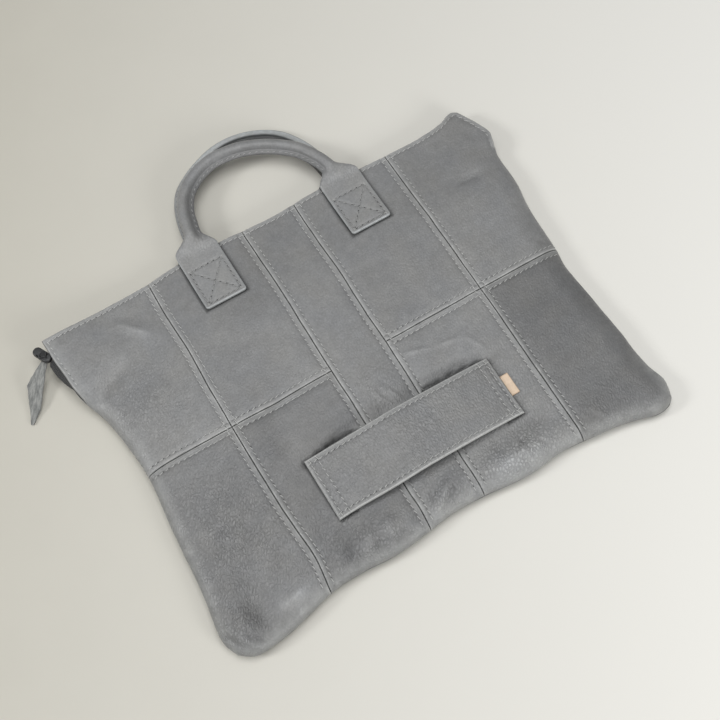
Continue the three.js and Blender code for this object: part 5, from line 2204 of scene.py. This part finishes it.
    def build_pull(self) -> None:
        """Makes and dresses the leaf-shaped pull."""
        rows = np.array(self.pull_stations)
        spine = Curve(rows[:, :2])
        at_rows = spine.reach[:: Curve.SAMPLES] / spine.length
        share = np.linspace(0, 1, 120)
        line, travel = spine.at(share), spine.tangent(share)
        half = np.interp(share, at_rows, rows[:, 2])
        side = np.linspace(-1, 1, 33)[None]
        along = share[:, None] * spine.length + 0 * side
        tears = Noise(71).at(along, np.sign(side) * 20 + 0 * along, 2.6)
        torn = 1 + self.pull_tear * tears * smooth(along, 8, 14)
        lean = np.interp(share, at_rows, rows[:, 3])[:, None]
        across = side * half[:, None] * torn + lean
        curl = self.pull_curl * smooth(along, 10, 24) * (1 - smooth(along, 44, 56)) * side**2
        way, aside = np.array((*self.pull_way, 0)), np.array((self.pull_way[1], -self.pull_way[0], 0))
        eye = np.array((*self.eye, 0.0))
        face = leftward(travel)
        faces = []
        thick = self.pull_thickness / 2 * (0.5 + 0.5 * rounding((1 - np.abs(side)) / 0.12)) + 0 * along
        for sign in (1, -1):
            rough = self.pull_nap * Noise(72).at(along, across, 5.0, 1.4)
            lie = sign * thick + curl + rough
            forth = line[:, :1] + face[:, :1] * lie
            height = np.maximum(line[:, 1:] + face[:, 1:] * lie, self.pull_floor)
            faces.append(eye + forth[..., None] * way + across[..., None] * aside + height[..., None] * UP)
        cut = 0.7 * smooth(np.abs(side), 0.82, 1.0) + 0 * along
        # Painted shade on the loop in the slider's eye; the torn edges are darker.
        layers = {"soil": cut, "shade": 1 - smooth(along, 9.5, 12.5)}
        settle(slab("zip_pull", *faces, layers), Finish.SUEDE, "pull_suede", "zip_pull")


@dataclass(frozen=True)
class Stage:
    """Pale floor, soft light and the camera at the photograph's angle."""

    eye: Row = (-183.0, -339.02, 936.2)
    right: Row = (0.85880, -0.51204, -0.01698)
    up: Row = (0.47849, 0.78981, 0.38373)
    back: Row = (-0.18307, -0.33767, 0.92329)
    lens: float = 62.5
    sensor: float = 36.0
    floor_size: float = 6000.0
    cloud: float = 60.0
    painted_light_way: Row = (0.86, -0.51, 0.0)
    painted_light_from: Row = (-0.34, 0.33)
    floor_drop: float = 5e-5
    lights: tuple[tuple[str, Row, float, float], ...] = (
        ("overhead", (0.0, 0.0, 2.2), 1.6, 28.5),
        ("window", (-1.72, 0.45, 1.25), 0.5, 14.0),
        ("fill", (0.5, -1.5, 0.8), 0.6, 9.5),
    )
    surround: str = "#fbfbfa"
    surround_strength: float = 0.25

    def build_camera(self) -> None:
        """Makes the camera."""
        data = bpy.data.cameras.new("camera")
        data.lens, data.sensor_width = self.lens, self.sensor
        camera = put("camera", data)
        turn = Matrix((self.right, self.up, self.back)).transposed()
        camera.matrix_world = Matrix.Translation(Vector(self.eye) * MM) @ turn.to_4x4()
        bpy.context.scene.camera = camera

    def build_floor(self) -> None:
        """Makes the pale floor, painted lighter towards one side as a painted pool of light."""
        half = self.floor_size / 2 * MM
        mesh = bpy.data.meshes.new("floor")
        ways = ((-1, -1), (1, -1), (1, 1), (-1, 1))
        corners = [(half * x, half * y, -self.floor_drop) for x, y in ways]
        mesh.from_pydata(corners, [], [(0, 1, 2, 3)])
        material, tree = new_material("limewashed plaster")
        plan = stretched(tree, (self.cloud,) * 3)
        inputs = {"Vector": plan, "Scale": 1.0, "Detail": 8.0, "Roughness": 0.6}
        clouds = add_node(tree, "ShaderNodeTexNoise", inputs)
        places = add_node(tree, "ShaderNodeTexCoord").outputs["Object"]
        way = add_node(tree, "ShaderNodeVectorMath", {0: places, 1: self.painted_light_way}, operation="DOT_PRODUCT")
        start, end = self.painted_light_from
        inputs = {"Value": way.outputs["Value"], "From Min": start, "From Max": end}
        # Painted light: the floor grows lighter along one way across it.
        floor_painted_light = add_node(tree, "ShaderNodeMapRange", inputs)
        colour = coated(tree, "#c2bfb4", (clouds, "#bcb9ae"), (floor_painted_light, "#e9e8e3"))
        close_material(tree, {"Base Color": colour, "Roughness": 0.9})
        mesh.materials.append(material)
        floor = put("floor", mesh)

    def add_light(self, name: str, place: Row, size: float, power: float) -> None:
        """Adds one light that faces the pouch.

        Args:
            name: Name of the light.
            place: Where it stands, in metres.
            size: Side of its square, in metres.
            power: Its power in watts.
        """
        data = bpy.data.lights.new(name, "AREA")
        data.size, data.energy = size, power
        light = put(name, data)
        light.location = place
        light.rotation_euler = Vector(place).to_track_quat("Z", "Y").to_euler()

    def build_light(self) -> None:
        """Makes a wide light overhead, a window at the left, a fill below and a pale surround."""
        for name, place, size, power in self.lights:
            self.add_light(name, place, size, power)
        world = bpy.data.worlds.new("surround")
        world.use_nodes = True
        inputs = world.node_tree.nodes["Background"].inputs
        inputs["Color"].default_value = linear(self.surround)
        inputs["Strength"].default_value = self.surround_strength
        bpy.context.scene.world = world
        bpy.context.scene.view_settings.view_transform = "Standard"


FRONT_PADS: tuple[Row, Row] = ((-66.0, 98.0), (70.0, 95.7))
FRONT_ARCH: tuple[Row, ...] = (
    (-65.2, 158, 16.6), (-63.7, 168, 17.8), (-61.7, 178, 17.9), (-58.4, 189.5, 17.9), (-50.5, 203, 17.8),
    (-36, 214.6, 17.8), (-16.5, 221.4, 17.8), (8.8, 219.8, 17.8), (30, 211.5, 17.8), (46.8, 199.9, 17.8),
    (55.8, 190.8, 17.9), (62.5, 179.5, 17.9), (66.6, 170.5, 17.8), (69.2, 160, 17.2),
)
BACK_PADS: tuple[Row, Row] = ((-62.0, 95.5), (66.5, 95.5))
BACK_ARCH: tuple[Row, ...] = (
    (-61.5, 162), (-60, 178), (-56, 194), (-48, 209.5), (-35, 219.5), (-21, 226.4), (-6.5, 231.2),
    (10, 232.4), (29, 227.8), (46.5, 216.6), (57, 201), (62.5, 186.5), (65.4, 175), (66.4, 162),
)


def sew(bars: BarPaths, name: str, paths: Sequence[Path], thread: Finish, seed: int) -> None:
    """Lays stitches along rows, and between each two a dark bar of painted shade in the needle hole.

    Args:
        bars: What lays them.
        name: Name of what is sewn.
        paths: The rows.
        thread: Finish of the thread.
        seed: Start of the random slants.
    """
    settle(bars.lay(f"{name}_stitches", paths, STITCH, thread, seed), thread, None)
    ends = [path.later(max(1, round(STITCH["Pitch"] / MM / 2 / path.step))) for path in paths]
    settle(bars.lay(f"{name}_needle_holes", ends, HOLE, Finish.HOLE, seed), Finish.HOLE, None)


def main() -> None:
    """Builds the stage and the pouch."""
    logging.basicConfig(level=logging.INFO, format="%(name)s: %(message)s")
    stage = Stage()
    stage.build_camera()
    stage.build_floor()
    stage.build_light()
    shape, bars = BodyShape(), BarPaths()
    front = Front(shape)
    front.build()
    Back(shape).build()
    handles = [
        Handle("front_handle", FRONT_PADS, FRONT_ARCH, front, True, 81),
        Handle("back_handle", BACK_PADS, BACK_ARCH, front, False, 91),
    ]
    for handle in handles:
        handle.build()
    strap = Strap(front)
    strap.build()
    strap.build_label()
    zip_parts = Zip(shape)
    zip_parts.build_tape()
    zip_parts.build_coil(bars)
    zip_parts.build_slider()
    zip_parts.build_pull()
    rows = [
        ("front", front.stitch_rows(), Finish.THREAD),
        ("strap", strap.stitch_rows(), Finish.THREAD),
        *((handle.name, handle.stitch_rows(), Finish.WORN_THREAD) for handle in handles),
    ]
    for seed, (name, paths, thread) in enumerate(rows, start=101):
        sew(bars, name, paths, thread, seed)


if __name__ == "__main__":
    main()
